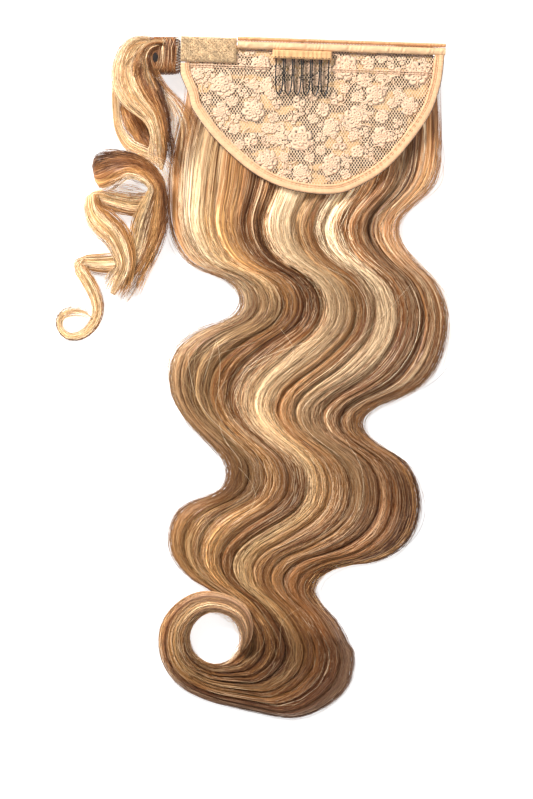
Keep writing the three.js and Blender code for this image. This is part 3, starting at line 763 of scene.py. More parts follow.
FUZZ = cloth_material("hook_fuzz", shade(222, 187, 142), 260.0, variety=0.18)
STITCH = cloth_material("sewing_thread", shade(224, 166, 114), 700.0)
DARK_STITCH = cloth_material("dark_thread", shade(92, 58, 38), 700.0)
WHITE_STITCH = cloth_material("pale_thread", shade(232, 222, 206), 700.0)
HOLLOW_SHADOW = hollow_shadow_material()
COMB = metal_material()
PATCHY_WEFT = patchy_weft_material()


# Hair


# Share of its width by which the body stops short, for loose hairs to fill
BODY_INSET = 0.009
# Share of the body's section that is its top
TOP_SHARE = 0.84


def fall_body(flow):
    """Closed body of the fall: its top is the hair's surface, its underside is flat."""
    mesh, a, t = unit_tube("hair_body", 184, 330)
    over = a <= TOP_SHARE
    u = np.where(over, a / TOP_SHARE, (1 - a) / (1 - TOP_SHARE))
    points = fall_surface(flow, BODY_INSET + u * (1 - 2 * BODY_INSET), t)
    under, _height = flow.points(0.02 + 0.96 * u, t)
    points[~over] = under[~over]
    points[:, 2] = np.maximum(points[:, 2], 0)
    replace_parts(shaped_piece(mesh, points, u, t, HAIR, "hair"), "hair_fall")


class Hairs:
    """Many hairs drawn at once: columns of random values, one for each, and steps along them."""

    def __init__(self, count, along, seed):
        self.count, self.along = count, along
        self.t = steps_along(along)
        self.rng = np.random.default_rng(seed)

    def random(self):
        return self.rng.random((self.count, 1))

    def uniform(self, low, high):
        return self.rng.uniform(low, high, (self.count, 1))

    def normal(self, spread):
        return self.rng.normal(0, spread, (self.count, 1))

    def gamma(self, shape, size):
        return self.rng.gamma(shape, size, (self.count, 1))

    def across(self, spread, bunches=0):
        """Shares across at each step of hairs that wander, alone or in bunches."""
        middles = self.rng.random(self.count)
        if bunches:
            centres = self.rng.random(bunches)[self.rng.integers(0, bunches, self.count)]
            middles = np.clip(centres + self.rng.normal(0, 0.012, self.count), 0, 1)
        wander = np.zeros((self.count, self.along))
        for k in (1, 2, 4):
            size = spread * self.normal(1) / k
            wander += size * np.sin(TURN * (k * self.t + self.random()))
        return middles[:, None] + wander

    def radii(self, radius):
        """Radii that run out to a quarter at both ends."""
        taper = np.minimum(1, 14 * self.t) * np.minimum(1, 9 * (1 - self.t))
        return radius * self.uniform(0.75, 1.3) * (0.25 + 0.75 * taper)


def thick_lines(name, lines, radii, uv, look, slot, sides=3, flat=1.0):
    """Thin tapered tubes round many lines, each with its own place in the UV map."""
    count, along = lines.shape[:2]
    mesh, each = copies_of(tube_mesh(name + "_one", sides, along - 1), name, count)
    a, t = round_and_along(mesh)
    line = np.repeat(np.arange(count), each)
    step = np.rint(t * (along - 1)).astype(int)
    tangent = np.gradient(lines, axis=1)
    tangent /= np.linalg.norm(tangent, axis=2, keepdims=True) + 1e-12
    side = np.stack([-tangent[..., 1], tangent[..., 0], np.zeros((count, along))], axis=2)
    side /= np.linalg.norm(side, axis=2, keepdims=True) + 1e-12
    up = np.cross(tangent, side)
    angle = TURN * (a[:, None] + 0.25)
    section = np.cos(angle) * side[line, step] + flat * np.sin(angle) * up[line, step]
    points = lines[line, step] + radii[line, step][:, None] * section
    return shaped_piece(mesh, points, uv[0][line, step], uv[1][line, step], look, slot)


def cords(name, lines, radius, look, slot, sides=4):
    """Threads of one thickness round many lines."""
    t = steps_along(lines.shape[1]) * np.ones((len(lines), 1))
    return thick_lines(name, lines, np.full(t.shape, radius), (t * 0, t), look, slot, sides)


STEPS_ON_FALL = 36
STEPS_ON_STRAND = 22
# Hairs on the fall: name, count, wander, radius, lift, seed, bunches
FALL_STRANDS = [
    ("hair_strands_inner", 560, 0.004, 0.13 * MM, 0.12 * MM, 41, 0),
    ("hair_strands_outer", 520, 0.006, 0.14 * MM, 0.35 * MM, 42, 90),
    ("hair_strands_loose", 190, 0.022, 0.09 * MM, 0.8 * MM, 43, 0),
]


def fall_strands(flow):
    """Single hairs and small bunches on the fall, in groups that each make one piece."""
    for name, count, spread, radius, lift, seed, bunches in FALL_STRANDS:
        hairs = Hairs(count, STEPS_ON_FALL, seed)
        across = np.clip(hairs.across(spread, bunches), -0.014, 1.014)
        from_root = hairs.random() < 0.5
        start = np.where(from_root, hairs.uniform(0, 0.1), hairs.uniform(0, 0.6))
        stop = start + hairs.uniform(0.35, 0.9)
        stop = np.minimum(stop, hairs.uniform(0.93, 1.0))
        place = start + hairs.t * (stop - start)
        points = fall_surface(flow, across, place)
        points[..., 2] += radius + lift * hairs.random() * np.clip(place * 7 - 1, 0.1, 1)
        radii = hairs.radii(radius)
        tone = np.clip(across + hairs.normal(0.035), 0, 1)
        thick_lines(name, points, radii, (tone, place), HAIR, "hair", flat=0.6)


def edge_wisps(flow):
    """Fine loose hairs along both edges of the fall and the outside of the ring curl."""
    hairs = Hairs(760, 16, 51)
    start = hairs.uniform(0.04, 0.93)
    place = np.minimum(start + hairs.t * hairs.uniform(0.05, 0.16), 0.995)
    right = hairs.random() < 0.55
    bow = np.where(hairs.random() < 0.6, hairs.t**1.6, np.sin(math.pi * hairs.t) ** 0.8)
    reach = hairs.gamma(1.5, 0.011) * bow - 0.004
    points, _height = flow.points(np.where(right, 1 + reach, -reach), place)
    points[..., 2] += 1.2 * MM + 3.5 * MM * hairs.random()
    radii = hairs.radii(0.08 * MM)
    tone = np.where(right, 0.94, 0.03) + hairs.normal(0.02) + 0 * hairs.t
    thick_lines("hair_edge_wisps", points, radii, (np.clip(tone, 0, 1), place), HAIR, "hair")


def flyaways(flow):
    """A few hairs that cross the others."""
    hairs = Hairs(70, 30, 57)
    arch = np.sin(math.pi * hairs.t)
    start = hairs.uniform(0.2, 0.85)
    place = np.minimum(start + hairs.t * hairs.uniform(0.05, 0.12), 0.99)
    first = hairs.uniform(0.05, 0.95)
    drift = hairs.normal(0.14)
    across = np.clip(first + drift * (hairs.t - 0.5) + 0.3 * drift * arch, -0.03, 1.03)
    points = fall_surface(flow, across, place)
    points[..., 2] += 0.5 * MM + 1.2 * MM * arch
    radii = hairs.radii(0.07 * MM)
    tone = hairs.rng.choice([0.17, 0.47, 0.71], (hairs.count, 1)) + 0 * hairs.t
    thick_lines("hair_flyaways", points, radii, (tone, place * 0.4), HAIR, "hair")


def ring_wisps():
    """Soft hairs that close in on the hole of the ring curl."""
    hairs = Hairs(150, 14, 61)
    angle = np.radians(hairs.uniform(-110, 20) + hairs.t * hairs.uniform(30, 80))
    depth = hairs.gamma(1.4, 0.055)
    reach = 1.03 - depth * np.sin(math.pi * hairs.t) ** hairs.uniform(0.7, 1.6)
    x = ring_middle.x + np.cos(angle) * RING_RADIUS * reach
    y = ring_middle.y - np.sin(angle) * RING_RADIUS * reach
    z = FALL_HEIGHT * (0.35 + 0.25 * hairs.random()) + 0 * hairs.t
    radii = hairs.radii(0.07 * MM)
    tone = 0.46 + hairs.normal(0.05) + 0 * hairs.t
    points = np.stack([x, y, z], axis=2)
    thick_lines("ring_wisps", points, radii, (tone, 0.96 + 0 * tone), HAIR, "hair")


def lock_shell(name, flow, looks):
    """One lock of the wrap strand, ridged on its upper face and fine at its loose ends."""
    first, last, drift, _hairs, fine_start, fine_end = looks
    mesh, a, t = unit_tube("wrap_" + name, 36, 58)
    over = a <= 0.5
    u = np.where(over, a * 2, (1 - a) * 2)
    left, right, thick = flow.at(t)
    start, end = 4 if fine_start else 40, 2.4 if fine_end else 40
    taper = np.clip(t * start, 0, 1) * np.clip((1 - t) * end, 0, 1)
    ends = np.sqrt(np.maximum(taper, 0.01))
    half = (u[:, None] - 0.5) * (0.35 + 0.5 * ends[:, None])
    points = (left + right) / 2 + (right - left) * half
    body = rounded(u)
    relief = ripple(u, t, 4, 0.55 * MM, 0.5, 31) + ripple(u, t, 13, 0.3 * MM, 0.7, 32)
    rise = thick / 2 * body + relief * body * np.clip(thick / (3 * MM), 0.2, 1)
    points[:, 2] += np.where(over, rise, -thick / 2 * body) * ends
    points[:, 2] = np.maximum(points[:, 2], LOCK_FLOOR)
    tone = first + u**1.3 * (last - first) + drift * t
    return shaped_piece(mesh, points, tone, t * flow.length / FALL_LENGTH, RIBBON_HAIR, "hair")


def lock_strands(name, flow, count, tones, spill=0.06, radius=0.12, fray=0.0):
    """Hairs over both faces and past the edges and ends of a lock."""
    hairs = Hairs(count, STEPS_ON_STRAND, sum(map(ord, name)))
    across = hairs.across(0.03)
    start = hairs.uniform(0, 0.3) ** 1.5
    stop = 1 - hairs.uniform(0, 0.45) ** 1.5
    place = start + hairs.t * (stop - start)
    fan = 1 + 2 * spill + fray * np.clip(place * 4 - 3, 0, 1)
    across = 0.5 + (across - 0.5) * fan
    points, thick = flow.points(across, place)
    across = np.clip(across, 0, 1)
    face = np.where(hairs.random() < 0.8, 1, -1)
    off = 0.4 * MM * hairs.random() + 0.1 * MM
    points[..., 2] += face * (thick / 2 * rounded(across) + off)
    points[..., 2] = np.maximum(points[..., 2], LOCK_FLOOR)
    radii = hairs.radii(radius * MM)
    first, last, drift = tones
    share = np.clip(across + hairs.normal(0.06), 0, 1)
    tone = first + share**1.3 * (last - first) + drift * place
    run = place * flow.length / FALL_LENGTH + hairs.random()
    thick_lines("wrap_" + name + "_hairs", points, radii, (tone, run), RIBBON_HAIR, "hair")


def wrap_strand():
    """The locks of the wrap strand with their hairs, and the loose hairs round them."""
    for name, rows in WRAP_LOCKS.items():
        flow = lock_flow(rows)
        looks = WRAP_LOOKS[name]
        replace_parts(lock_shell(name, flow, looks), "wrap_strand")
        lock_strands(name, flow, looks[3], looks[:3], fray=1.2 if looks[5] else 0.0)
    for name, rows in WRAP_WISPS.items():
        count, radius, first, last = WISP_LOOKS[name]
        lock_strands(name, lock_flow(rows), count, (first, last, 0.0), spill=0.3, radius=radius)


# Base


def edge_line(count, inset=0.0, start=0.0, stop=1.0):
    """Points on the base's edge, moved in by inset, with the directions inward and along it."""
    place = np.linspace(start, stop, count) * (len(BASE_EDGE) - 1)
    at = smooth_rows(BASE_EDGE, place)
    points = np.stack([corner.x + at[:, 0] * BASE_WIDTH, corner.y - at[:, 1] * BASE_DEPTH], axis=1)
    along = np.gradient(points, axis=0)
    along /= np.linalg.norm(along, axis=1)[:, None]
    inward = np.stack([-along[:, 1], along[:, 0]], axis=1)
    return points + inward * inset, inward, along


def base_outline(inset):
    points, _inward, _along = edge_line(160, inset)
    return points


def inside_base(x, y, inset):
    """Whether points lie inside the base's edge, moved in by inset."""
    ring = base_outline(inset)
    after = np.roll(ring, -1, axis=0)
    inside = np.zeros(np.shape(x), bool)
    for (x0, y0), (x1, y1) in zip(ring, after):
        crosses = (y0 > y) != (y1 > y)
        inside ^= crosses & (x < (x1 - x0) * (y - y0) / (y1 - y0 + 1e-12) + x0)
    return inside


def lace_ground():
    """The net that the flowers are worked on, and its flat area."""
    bm = bmesh.new()
    ring = [bm.verts.new((x, y, NET_LOW)) for x, y in base_outline(2.5 * MM)]
    bm.faces.new(ring)
    bmesh.ops.triangulate(bm, faces=bm.faces)
    flat = sum(face.calc_area() for face in bm.faces)
    top = bmesh.ops.extrude_face_region(bm, geom=bm.faces[:])
    moved = [item for item in top["geom"] if isinstance(item, bmesh.types.BMVert)]
    bmesh.ops.translate(bm, verts=moved, vec=(0, 0, NET_THICK))
    bmesh.ops.recalc_face_normals(bm, faces=bm.faces)
    piece = add_piece(mesh_from(bm, "lace_net"), net_material(), "lace")
    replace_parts(piece, "lace_panel")
    return piece, flat


SPRIGS = 90
# Petal and leaf rings: round the ring, round its section
PETAL_FACES = (14, 4)
# Flowers and leaves keep this far from the straight edge
TOP_MARGIN = 9 * MM
# Big flowers of the lace, in photo pixels from the base's corner: across, down, radius
BIG_FLOWERS = [
    (42, 49, 13), (164, 32, 14), (235, 37, 13), (195, 58, 11), (119, 102, 14), (86, 124, 11),
    (73, 74, 12), (80, 28, 10), (174, 81, 12), (150, 90, 9), (228, 70, 10), (200, 100, 11),
    (150, 128, 11), (190, 130, 9), (120, 135, 9), (40, 75, 9),
]


def flower_petals(x, y, radius, rng):
    """Rows of centre, heading, length, width and height, one for each petal of a flower."""
    big = radius > 5 * MM
    count = 7 if big else int(rng.choice([3, 4, 5]))
    turn = rng.uniform(0, TURN)
    rows = []
    rings = [(1.0, count, 0.0, 0.0)]
    if big:
        rings.append((0.62, count - 1, 0.5, 0.3 * MM))
    for share, petals, shift, higher in rings:
        for i in range(petals):
            angle = turn + TURN * (i + shift) / petals + rng.uniform(-0.14, 0.14)
            length = radius * share * rng.uniform(0.8, 0.98)
            width = min(radius * share * 4.4 / petals, 1.1 * length)
            out = 0.08 * radius + 0.5 * length
            px, py = x + math.cos(angle) * out, y + math.sin(angle) * out
            rows.append((px, py, angle, length, width, higher))
    rows.append((x, y, turn, radius * 0.3, radius * 0.3, 0.45 * MM))
    return rows


def sprig_leaves(x, y, rng):
    """Rows like those of flower_petals for the leaves to both sides of a bent stem."""
    heading, curl = rng.uniform(0, TURN), rng.uniform(-0.35, 0.35)
    rows = []
    for i in range(6):
        heading += curl
        x += math.cos(heading) * 1.5 * MM
        y += math.sin(heading) * 1.5 * MM
        angle = heading + (0.8 if i % 2 else -0.8)
        length = rng.uniform(2.8, 4.6) * MM
        px, py = x + math.cos(angle) * 0.5 * length, y + math.sin(angle) * 0.5 * length
        rows.append((px, py, angle, length, 2.0 * MM, 0.1 * MM))
    return rows


def lace_flowers():
    """Big flowers where the lace has them, with small ones and leaves between."""
    placed = [(corner.x + x * PIXEL, corner.y - y * PIXEL, r * PIXEL) for x, y, r in BIG_FLOWERS]
    rng = np.random.default_rng(71)
    for _ in range(9000):
        x = rng.uniform(panel_low.x, panel_high.x)
        y = rng.uniform(panel_low.y, panel_high.y - TOP_MARGIN)
        r = rng.choice([4.4, 3.4]) * MM
        if all(math.hypot(x - px, y - py) > 1.0 * (r + pr) for px, py, pr in placed):
            placed.append((x, y, r))
    rows = []
    for x, y, r in placed:
        if inside_base(np.array(x), np.array(y), 3.6 * MM + r * 0.9):
            rows += flower_petals(x, y, r, rng)
    for _ in range(SPRIGS):
        x = rng.uniform(panel_low.x, panel_high.x)
        y = rng.uniform(panel_low.y, panel_high.y - TOP_MARGIN)
        leaves = np.array(sprig_leaves(x, y, rng))
        below_top = leaves[:, 1].max() < panel_high.y - TOP_MARGIN
        if below_top and inside_base(leaves[:, 0], leaves[:, 1], 6 * MM).all():
            rows += list(leaves)
    rows = np.array(rows)
    mesh, each = copies_of(ring_mesh("petal", *PETAL_FACES), "lace_flowers", len(rows))
    co = coordinates(mesh)
    x, y, heading, length, width, higher = np.repeat(rows, each, axis=0).T
    angle = np.arctan2(co[:, 1], co[:, 0])
    out = np.hypot(co[:, 0], co[:, 1]) - 2
    scallop = 1 + 0.07 * np.cos(7 * angle) * (out > 0)
    reach = (0.55 + 0.45 * out) * scallop / 2
    along = np.cos(angle) * reach * length
    across = np.sin(angle) * reach * width * (1 + 0.25 * np.cos(angle))
    px = x + np.cos(heading) * along - np.sin(heading) * across
    py = y + np.sin(heading) * along + np.cos(heading) * across
    pz = LACE_TOP + 0.3 * higher + 0.06 * MM * co[:, 2]
    points = np.column_stack([px, py, pz])
    return shaped_piece(mesh, points, out * 0.5, angle / TURN, FLOWER, "lace")


def lace_vines():
    """Curved stems and outlines between the flowers."""
    count, along = 90, 14
    rng = np.random.default_rng(73)
    lines = []
    while len(lines) < count:
        x = rng.uniform(panel_low.x, panel_high.x)
        y = rng.uniform(panel_low.y, panel_high.y - 8 * MM)
        heading, curl = rng.uniform(0, TURN), rng.uniform(-1.0, 1.0) * 300
        length = rng.uniform(6, 14) * MM
        s = np.linspace(0, length, along)
        angle = heading + curl * s
        step = length / (along - 1)
        px = x + np.cumsum(np.cos(angle)) * step
        py = y + np.cumsum(np.sin(angle)) * step
        if inside_base(px, py, 5.8 * MM).all():
            lines.append(np.stack([px, py, np.full(along, VINE_HEIGHT)], axis=1))
    return cords("lace_vines", np.array(lines), 0.34 * MM, FLOWER, "lace")


# Shares of the base's edge between which the tape is sewn
BINDING_START, BINDING_STOP = 1.45 / 14, 13.45 / 14


def edge_binding():
    """Folded tape, gathered a little where it goes round the curve."""
    along = 320
    mesh, a, t = unit_tube("binding_tape", 20, along)
    points, inward, _along = edge_line(along + 1, 0.0, BINDING_START, BINDING_STOP)
    step = np.rint(t * along).astype(int)
    angle = TURN * a
    middle = (binding_low.z + binding_high.z) / 2
    half = (binding_high.z - binding_low.z) / 2
    cross = boxy(np.cos(angle), 0.45)
    rise = boxy(np.sin(angle), 0.45)
    gather = 0.16 * MM * np.sin(step * 1.15 + 0.5 * np.sin(step * 0.21)) * np.abs(cross)
    channel = 0.45 * MM * np.exp(-(((cross - 0.55) / 0.14) ** 2)) * (rise > 0)
    across = BINDING_WIDTH / 2 * (1 + cross)
    place = points[step] + inward[step] * across[:, None]
    up = middle + rise * (half - 0.15 * MM) + gather - channel
    points = np.column_stack([place, up])
    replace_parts(shaped_piece(mesh, points, a, t, TAPE, "tape"), "edge_binding")


def stitch_row(name, points, directions, height, length, radius, look, slot):
    """Short stitches, one at each point, along the given directions."""
    along = 6
    s = np.linspace(-0.5, 0.5, along)[None, :, None]
    lines = points[:, None, :] + directions[:, None, :] * s * length
    arch = (height + 0.18 * MM * np.cos(math.pi * s[..., 0])) * np.ones((len(points), 1))
    cords(name, np.concatenate([lines, arch[..., None]], axis=2), radius, look, slot)


def binding_stitches():
    """Two rows of stitches on the tape and the overcast edge outside it."""
    top, low = binding_high.z - 0.25 * MM, binding_low.z + 1.4 * MM
    for name, count, inset, height, length, radius, look in (
        ("binding_stitches_inner", 118, 4.5, top, 1.7, 0.17, STITCH),
        ("binding_stitches_middle", 118, 3.3, top, 1.7, 0.17, STITCH),
        ("edge_overcast", 150, 0.0, low, 1.5, 0.34, DARK_STITCH),
    ):
        points, _inward, along = edge_line(count, inset * MM, BINDING_START, BINDING_STOP)
        stitch_row(name, points, along, height, length * MM, radius * MM, look, "tape")


def along_top(x, y, z):
    """A place given along the sloping top edge, down from it and above the surface."""
    c, s = TOP_EDGE
    return np.stack([corner.x + x * c - y * s, corner.y + x * s + y * c, z + 0 * x], axis=-1)


def ridged_strip(name, x0, x1, y0, y1, base, surface, look, slot, around=36, along=160):
    """A strip along the top edge whose upper face is given by surface(across, along)."""
    mesh, a, t = unit_tube(name, around, along)
    over = a <= 0.75
    v = np.where(over, a / 0.75, (1 - a) / 0.25)
    x = x0 + (x1 - x0) * t
    y = y0 + (y1 - y0) * v
    z = np.where(over, surface(v, t), base)
    return shaped_piece(mesh, along_top(x, y, z), v, t, look, slot)


def top_band():
    """Two folds of satin over the straight edge, with the rows sewn below them."""
    base = band_low.z
    start, stop = 34.2 * MM, BASE_WIDTH
    for name, upper, lower, height, look, waves in (
        ("band_fold_upper", 0.9, -1.7, 2.4, BAND_UPPER, 230),
        ("band_fold_lower", -1.7, -6.4, 2.0, BAND_LOWER, 170),
    ):

        def surface(v, t, height=height, waves=waves):
            ridge = 0.3 * MM + (height - 0.3) * MM * np.abs(np.sin(math.pi * v)) ** 0.6
            gather = 0.3 * MM * np.sin(t * waves + 7 * np.sin(t * 33) + v * 4) * np.sin(t * 47 + 2)
            return base + ridge + gather * np.sin(math.pi * v)

        place = (start, stop, upper * MM, lower * MM, base)
        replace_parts(ridged_strip(name, *place, surface, look, "band", 18, 240), "top_band")
    line_of_stitches("band_stitches", 36, 157, -3.0, base + 1.0 * MM, 1.3, 0.16, STITCH, "band")
    line_of_stitches("band_hem", 36, 156, -7.1, HEM_HEIGHT, 1.2, 0.3, DARK_STITCH, "lace")
    for name, down, radius in (("panel_seam", -16.6, 0.34), ("panel_seam_lower", -17.8, 0.24)):
        for side, start, stop in (("_left", 3, 53), ("_right", 92, 156)):
            line_of_stitches(name + side, start, stop, down, SEAM_HEIGHT, 1.6, radius, FLOWER, "lace")


def straight_stitches(name, x, y, *rest):
    """Stitches at places along the top edge, all at one distance down from it."""
    spots = along_top(x, np.full(len(x), y), 0.0)[:, :2]
    stitch_row(name, spots, np.repeat([TOP_EDGE], len(x), axis=0), *rest)


def line_of_stitches(name, start, stop, down, height, length, radius, look, slot):
    """A straight row of stitches along the top edge, given in millimetres."""
    x = np.linspace(start, stop, int((stop - start) / (length * 1.25))) * MM
    straight_stitches(name, x, down * MM, height, length * MM, radius * MM, look, slot)


def grip_patch():
    """Looped pile on a tape, with short loops standing over it."""
    width, depth = 33.4 * MM, 15.2 * MM
    base, top = patch_low.z, patch_high.z - 0.7 * MM

    def surface(v, t):
        edge = np.minimum(1, 9 * np.minimum(v, 1 - v)) * np.minimum(1, 20 * np.minimum(t, 1 - t))
        lumps = 0.25 * MM * np.sin(t * 90 + 5 * v) * np.sin(v * 40 + 4 * t)
        return base + 0.3 * MM + (top - base) * np.sqrt(edge) + lumps * edge

    place = (GAP, GAP + width, 0.0, -depth, base)
    slab = ridged_strip("patch_tape", *place, surface, FUZZ, "hook_and_loop")
    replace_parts(slab, "grip_patch")
    hairs = Hairs(1000, 6, 81)
    x = hairs.uniform(0.8 * MM, width - 0.5 * MM)
    y = -hairs.uniform(0.6 * MM, depth - 0.6 * MM)
    heading = hairs.uniform(0, TURN)
    reach = hairs.uniform(0.4, 1.1) * MM
    s = hairs.t
    lx = x + np.cos(heading) * reach * (s - 0.5) + 0.2 * MM * np.sin(TURN * s)
    ly = y + np.sin(heading) * reach * (s - 0.5)
    lz = top + 0.1 * MM + hairs.uniform(0.3, 0.8) * MM * np.sin(math.pi * s)
    lines = along_top(lx, ly, 0.0)
    lines[..., 2] = lz
    cords("patch_pile", lines, 0.09 * MM, FUZZ, "hook_and_loop", 3)


def comb_sleeve():
    """Folded tape over the comb's bar, with its stitches."""
    base, top = sleeve_low.z, sleeve_high.z
    floor = top - 1.15 * MM
    sides = (55.2 * MM, 90.6 * MM)
    upper, lower = -6.5 * MM, -11.6 * MM

    def folded(v, t):
        ends = np.minimum(1, 26 * np.minimum(t, 1 - t))
        fold = np.sqrt(np.clip(1 - (2 * v - 1) ** 6, 0, 1))
        crease = 0.18 * MM * np.sin(t * 70 + 2 * np.sin(9 * t))
        height = base + 2.0 * MM + (top - base - 2.1 * MM) * fold * np.sqrt(ends) + crease * fold
        return np.maximum(height, floor + 0.2 * MM)

    def level(height):
        return lambda v, t: height + 0 * v

    for name, down, low, surface, around, along in (
        ("sleeve_tape", lower, floor, folded, 40, 120),
        ("sleeve_back", lower, base, level(base + 0.8 * MM), 16, 20),
        ("sleeve_fold", upper - 0.9 * MM, base + 0.5 * MM, level(floor + 0.5 * MM), 12, 20),
    ):
        place = (*sides, upper, down, low)
        piece = ridged_strip(name, *place, surface, SLEEVE, "sleeve", around, along)
        if name == "sleeve_tape":
            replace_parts(piece, "comb_sleeve")
    x = np.linspace(57, 89, 18) * MM
    height = top - 0.25 * MM
    look = (height, 1.1 * MM, 0.16 * MM, DARK_STITCH, "sleeve")
    straight_stitches("sleeve_stitches", x, lower + 0.9 * MM, *look)


def bar_loops():
    """Thread loops that tie the comb's bar down between its teeth."""
    count, along = 7, 12
    first = comb_low.x + 0.3 * MM
    pitch = (comb_high.x - comb_low.x - 0.6 * MM) / 6
    s = np.linspace(0, TURN, along)
    x = first + pitch * np.arange(count)[:, None] + 0.12 * MM * np.sin(s)[None, :]
    drop = (x - comb_low.x) * math.tan(EDGE_SLOPE)
    y = sleeve_high.y - 6.0 * MM + drop + 0.9 * MM * np.cos(s)[None, :]
    z = (comb_low.z + comb_high.z) / 2 + 0.85 * MM * np.sin(s)[None, :] + 0 * x
    cords("bar_loops", np.stack([x, y, z], axis=2), 0.24 * MM, DARK_STITCH, "comb_wire", 5)


def weft_rows():
    """Rows of sewn hair that show through the net."""
    rows = 8
    for row in range(rows):
        share = (row + 0.6) / rows
        y = corner.y - 4 * MM - share * (BASE_DEPTH - 12 * MM)
        x = np.linspace(panel_low.x, panel_high.x, 400)
        inside = x[inside_base(x, np.full(400, y), 6.5 * MM)]
        if len(inside) < 20:
            continue
        x0, x1 = inside[0], inside[-1]
        mesh, a, t = unit_tube(f"weft_row_{row + 1}", 12, 60)
        angle = TURN * a
        px = x0 + (x1 - x0) * t
        bow = -3.5 * MM * np.sin(math.pi * t) + 0.7 * MM * np.sin(9 * t + row)
        py = y + bow + 5.4 * MM * np.cos(angle)
        pz = WEFT_HEIGHT + 0.5 * MM * np.sin(angle)
        points = np.column_stack([px, py, pz])
        u, v = (a + 0.37 * row) % 1, t + 0.3 * row
        shaped_piece(mesh, points, u, v, PATCHY_WEFT, "hair")


def wrap_tab():
    """Bound root of the wrap strand: a dark bundle with hairs wound over it."""
    mesh, a, t = unit_tube("tab_bundle", 48, 50)
    angle = TURN * a
    middle = (tab_low + tab_high) / 2
    half = (tab_high - tab_low) / 2
    swell = 1 - 0.16 * np.abs(2 * t - 1) ** 4
    fine = 0.35 * MM * np.sin(60 * t + 4 * np.sin(angle * 3))
    x = middle.x + (2 * t - 1) * half.x
    y = middle.y + boxy(np.cos(angle), 0.55) * half.y * swell + fine * 0.5
    z = middle.z + boxy(np.sin(angle), 0.55) * (half.z * swell - 0.3 * MM) + fine * 0.5
    points = np.column_stack([x, y, z])
    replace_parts(shaped_piece(mesh, points, a, t, ROOT_HAIR, "root_hair"), "wrap_tab")
    for name, count, look, radius, seed in (
        ("tab_wound_hairs", 90, ROOT_HAIR, 0.15, 91), ("tab_blond_hairs", 12, RIBBON_HAIR, 0.17, 92),
    ):
        hairs = Hairs(count, 24, seed)
        s = hairs.t
        lean = hairs.uniform(-1.3, 1.3)
        side = np.clip(hairs.uniform(-0.95, 0.8) + lean * (s - 0.5), -1, 0.9)
        angle = math.pi * (0.02 + 0.96 * s) + 0 * lean
        x = middle.x + half.x * side
        y = middle.y + boxy(np.cos(angle), 0.55) * (half.y + 0.1 * MM)
        z = middle.z + boxy(np.sin(angle), 0.55) * (half.z - 0.05 * MM)
        radii = hairs.radii(radius * MM)
        u = 0.76 + 0.2 * hairs.random() + 0 * s
        thick_lines(name, np.stack([x, y, z], axis=2), radii, (u, s + 0 * u), look, "root_hair")
    tab_hollow_shadow(middle)
    tab_overlock()


def tab_hollow_shadow(middle):
    """Dark flat form, a painted shadow in the hollow where the tab's hairs turn into the strand."""
    bm = bmesh.new()
    bmesh.ops.create_uvsphere(bm, u_segments=16, v_segments=8, radius=3.1 * MM)
    bmesh.ops.scale(bm, verts=bm.verts, vec=(0.8, 1.25, 0.25))
    place = (tab_low.x + 3.6 * MM, middle.y - 1.6 * MM, tab_high.z - 0.5 * MM)
    bmesh.ops.translate(bm, verts=bm.verts, vec=place)
    add_piece(mesh_from(bm, "tab_hollow_shadow"), HOLLOW_SHADOW, "root_hair")


def tab_overlock():
    """Two zigzag threads over the tab's right end."""
    count = 23
    x = tab_high.x - 2.4 * MM + 2.9 * MM * (np.arange(count) % 2)
    y = tab_high.y - 1.5 * MM - np.linspace(0, 1, count) * 19 * MM
    z = np.full(count, tab_high.z - 0.2 * MM)
    for name, shift, look in (
        ("tab_overlock_pale", 0.0, WHITE_STITCH), ("tab_overlock_dark", 0.85 * MM, DARK_STITCH),
    ):
        line = np.stack([x, y - shift, z], axis=1)[None]
        cords(name, line, 0.27 * MM, look, "root_hair", 5)


# Stage


WHITE = (1, 1, 1, 1)
PAPER_COLOR = (0.62, 0.62, 0.62, 1)
PAPER_GLOW = 0.66
WORLD_LIGHT = 0.55
# Lamps: place, size in metres, watts
LAMPS = {"key": ((-0.8, 0.95, 0.95), 0.45, 38), "fill": ((1.0, -0.5, 1.4), 1.2, 7)}
LENS, SENSOR = 135, 36
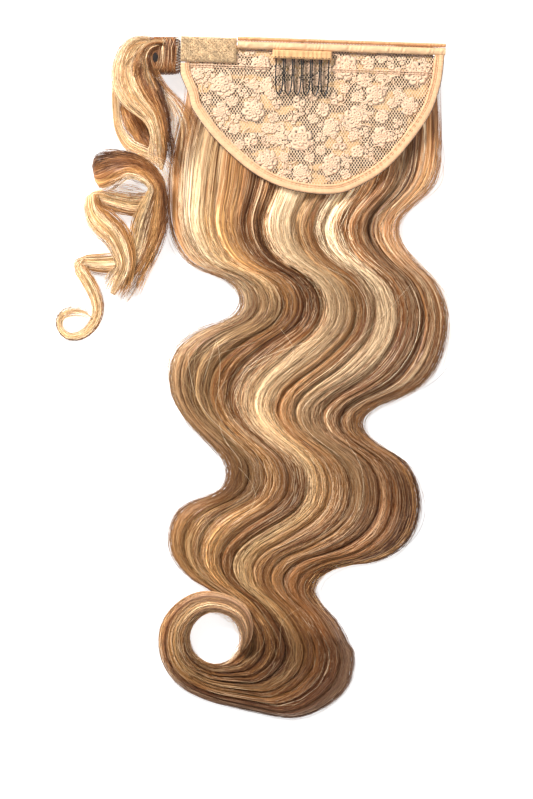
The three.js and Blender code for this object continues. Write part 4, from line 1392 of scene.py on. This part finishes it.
# Middle of the photo from the base's corner, and the height of the frame there
PHOTO_MIDDLE = Vector((51.3 * MM, -216.9 * MM, 0))
FRAME_HEIGHT = 479.4 * MM
# Height in the part that the camera's scale holds for
SCALE_HEIGHT = 8 * MM


def stage_floor():
    """White paper a little below the part."""
    bm = bmesh.new()
    bmesh.ops.create_grid(bm, x_segments=1, y_segments=1, size=4.0)
    bmesh.ops.translate(bm, verts=bm.verts, vec=(0, 0, -0.1 * MM))
    floor = link_new("floor", mesh_from(bm, "floor"))
    paper, _nodes, shader = material("white_paper", 0.9)
    shader.inputs["Base Color"].default_value = PAPER_COLOR
    shader.inputs["Emission Color"].default_value = WHITE
    shader.inputs["Emission Strength"].default_value = PAPER_GLOW
    floor.data.materials.append(paper)


def studio():
    """Even light from above, and the camera straight over the part."""
    world = bpy.data.worlds.new("studio")
    world.use_nodes = True
    world.node_tree.nodes["Background"].inputs[0].default_value = WHITE
    world.node_tree.nodes["Background"].inputs[1].default_value = WORLD_LIGHT
    bpy.context.scene.world = world
    bpy.context.scene.view_settings.view_transform = "Standard"
    for name, (place, size, watts) in LAMPS.items():
        lamp = bpy.data.lights.new(name, "AREA")
        lamp.size = size
        lamp.energy = watts
        item = link_new(name, lamp)
        item.location = place
        item.rotation_euler = (-Vector(place)).to_track_quat("-Z", "Y").to_euler()
    camera = bpy.data.cameras.new("camera")
    camera.lens, camera.sensor_width = LENS, SENSOR
    view = link_new("camera", camera)
    distance = FRAME_HEIGHT * LENS / SENSOR + SCALE_HEIGHT
    view.location = corner + PHOTO_MIDDLE + Vector((0, 0, distance))
    bpy.context.scene.camera = view


studio()
stage_floor()
fall = fall_flow()
fall_body(fall)
fall_strands(fall)
edge_wisps(fall)
flyaways(fall)
ring_wisps()
wrap_strand()

net, net_area = lace_ground()
flowers = lace_flowers()
vines = lace_vines()
edge_binding()
binding_stitches()
top_band()
grip_patch()
comb_sleeve()
bar_loops()
weft_rows()
wrap_tab()
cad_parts["wire_comb"].material_slots[0].material = COMB
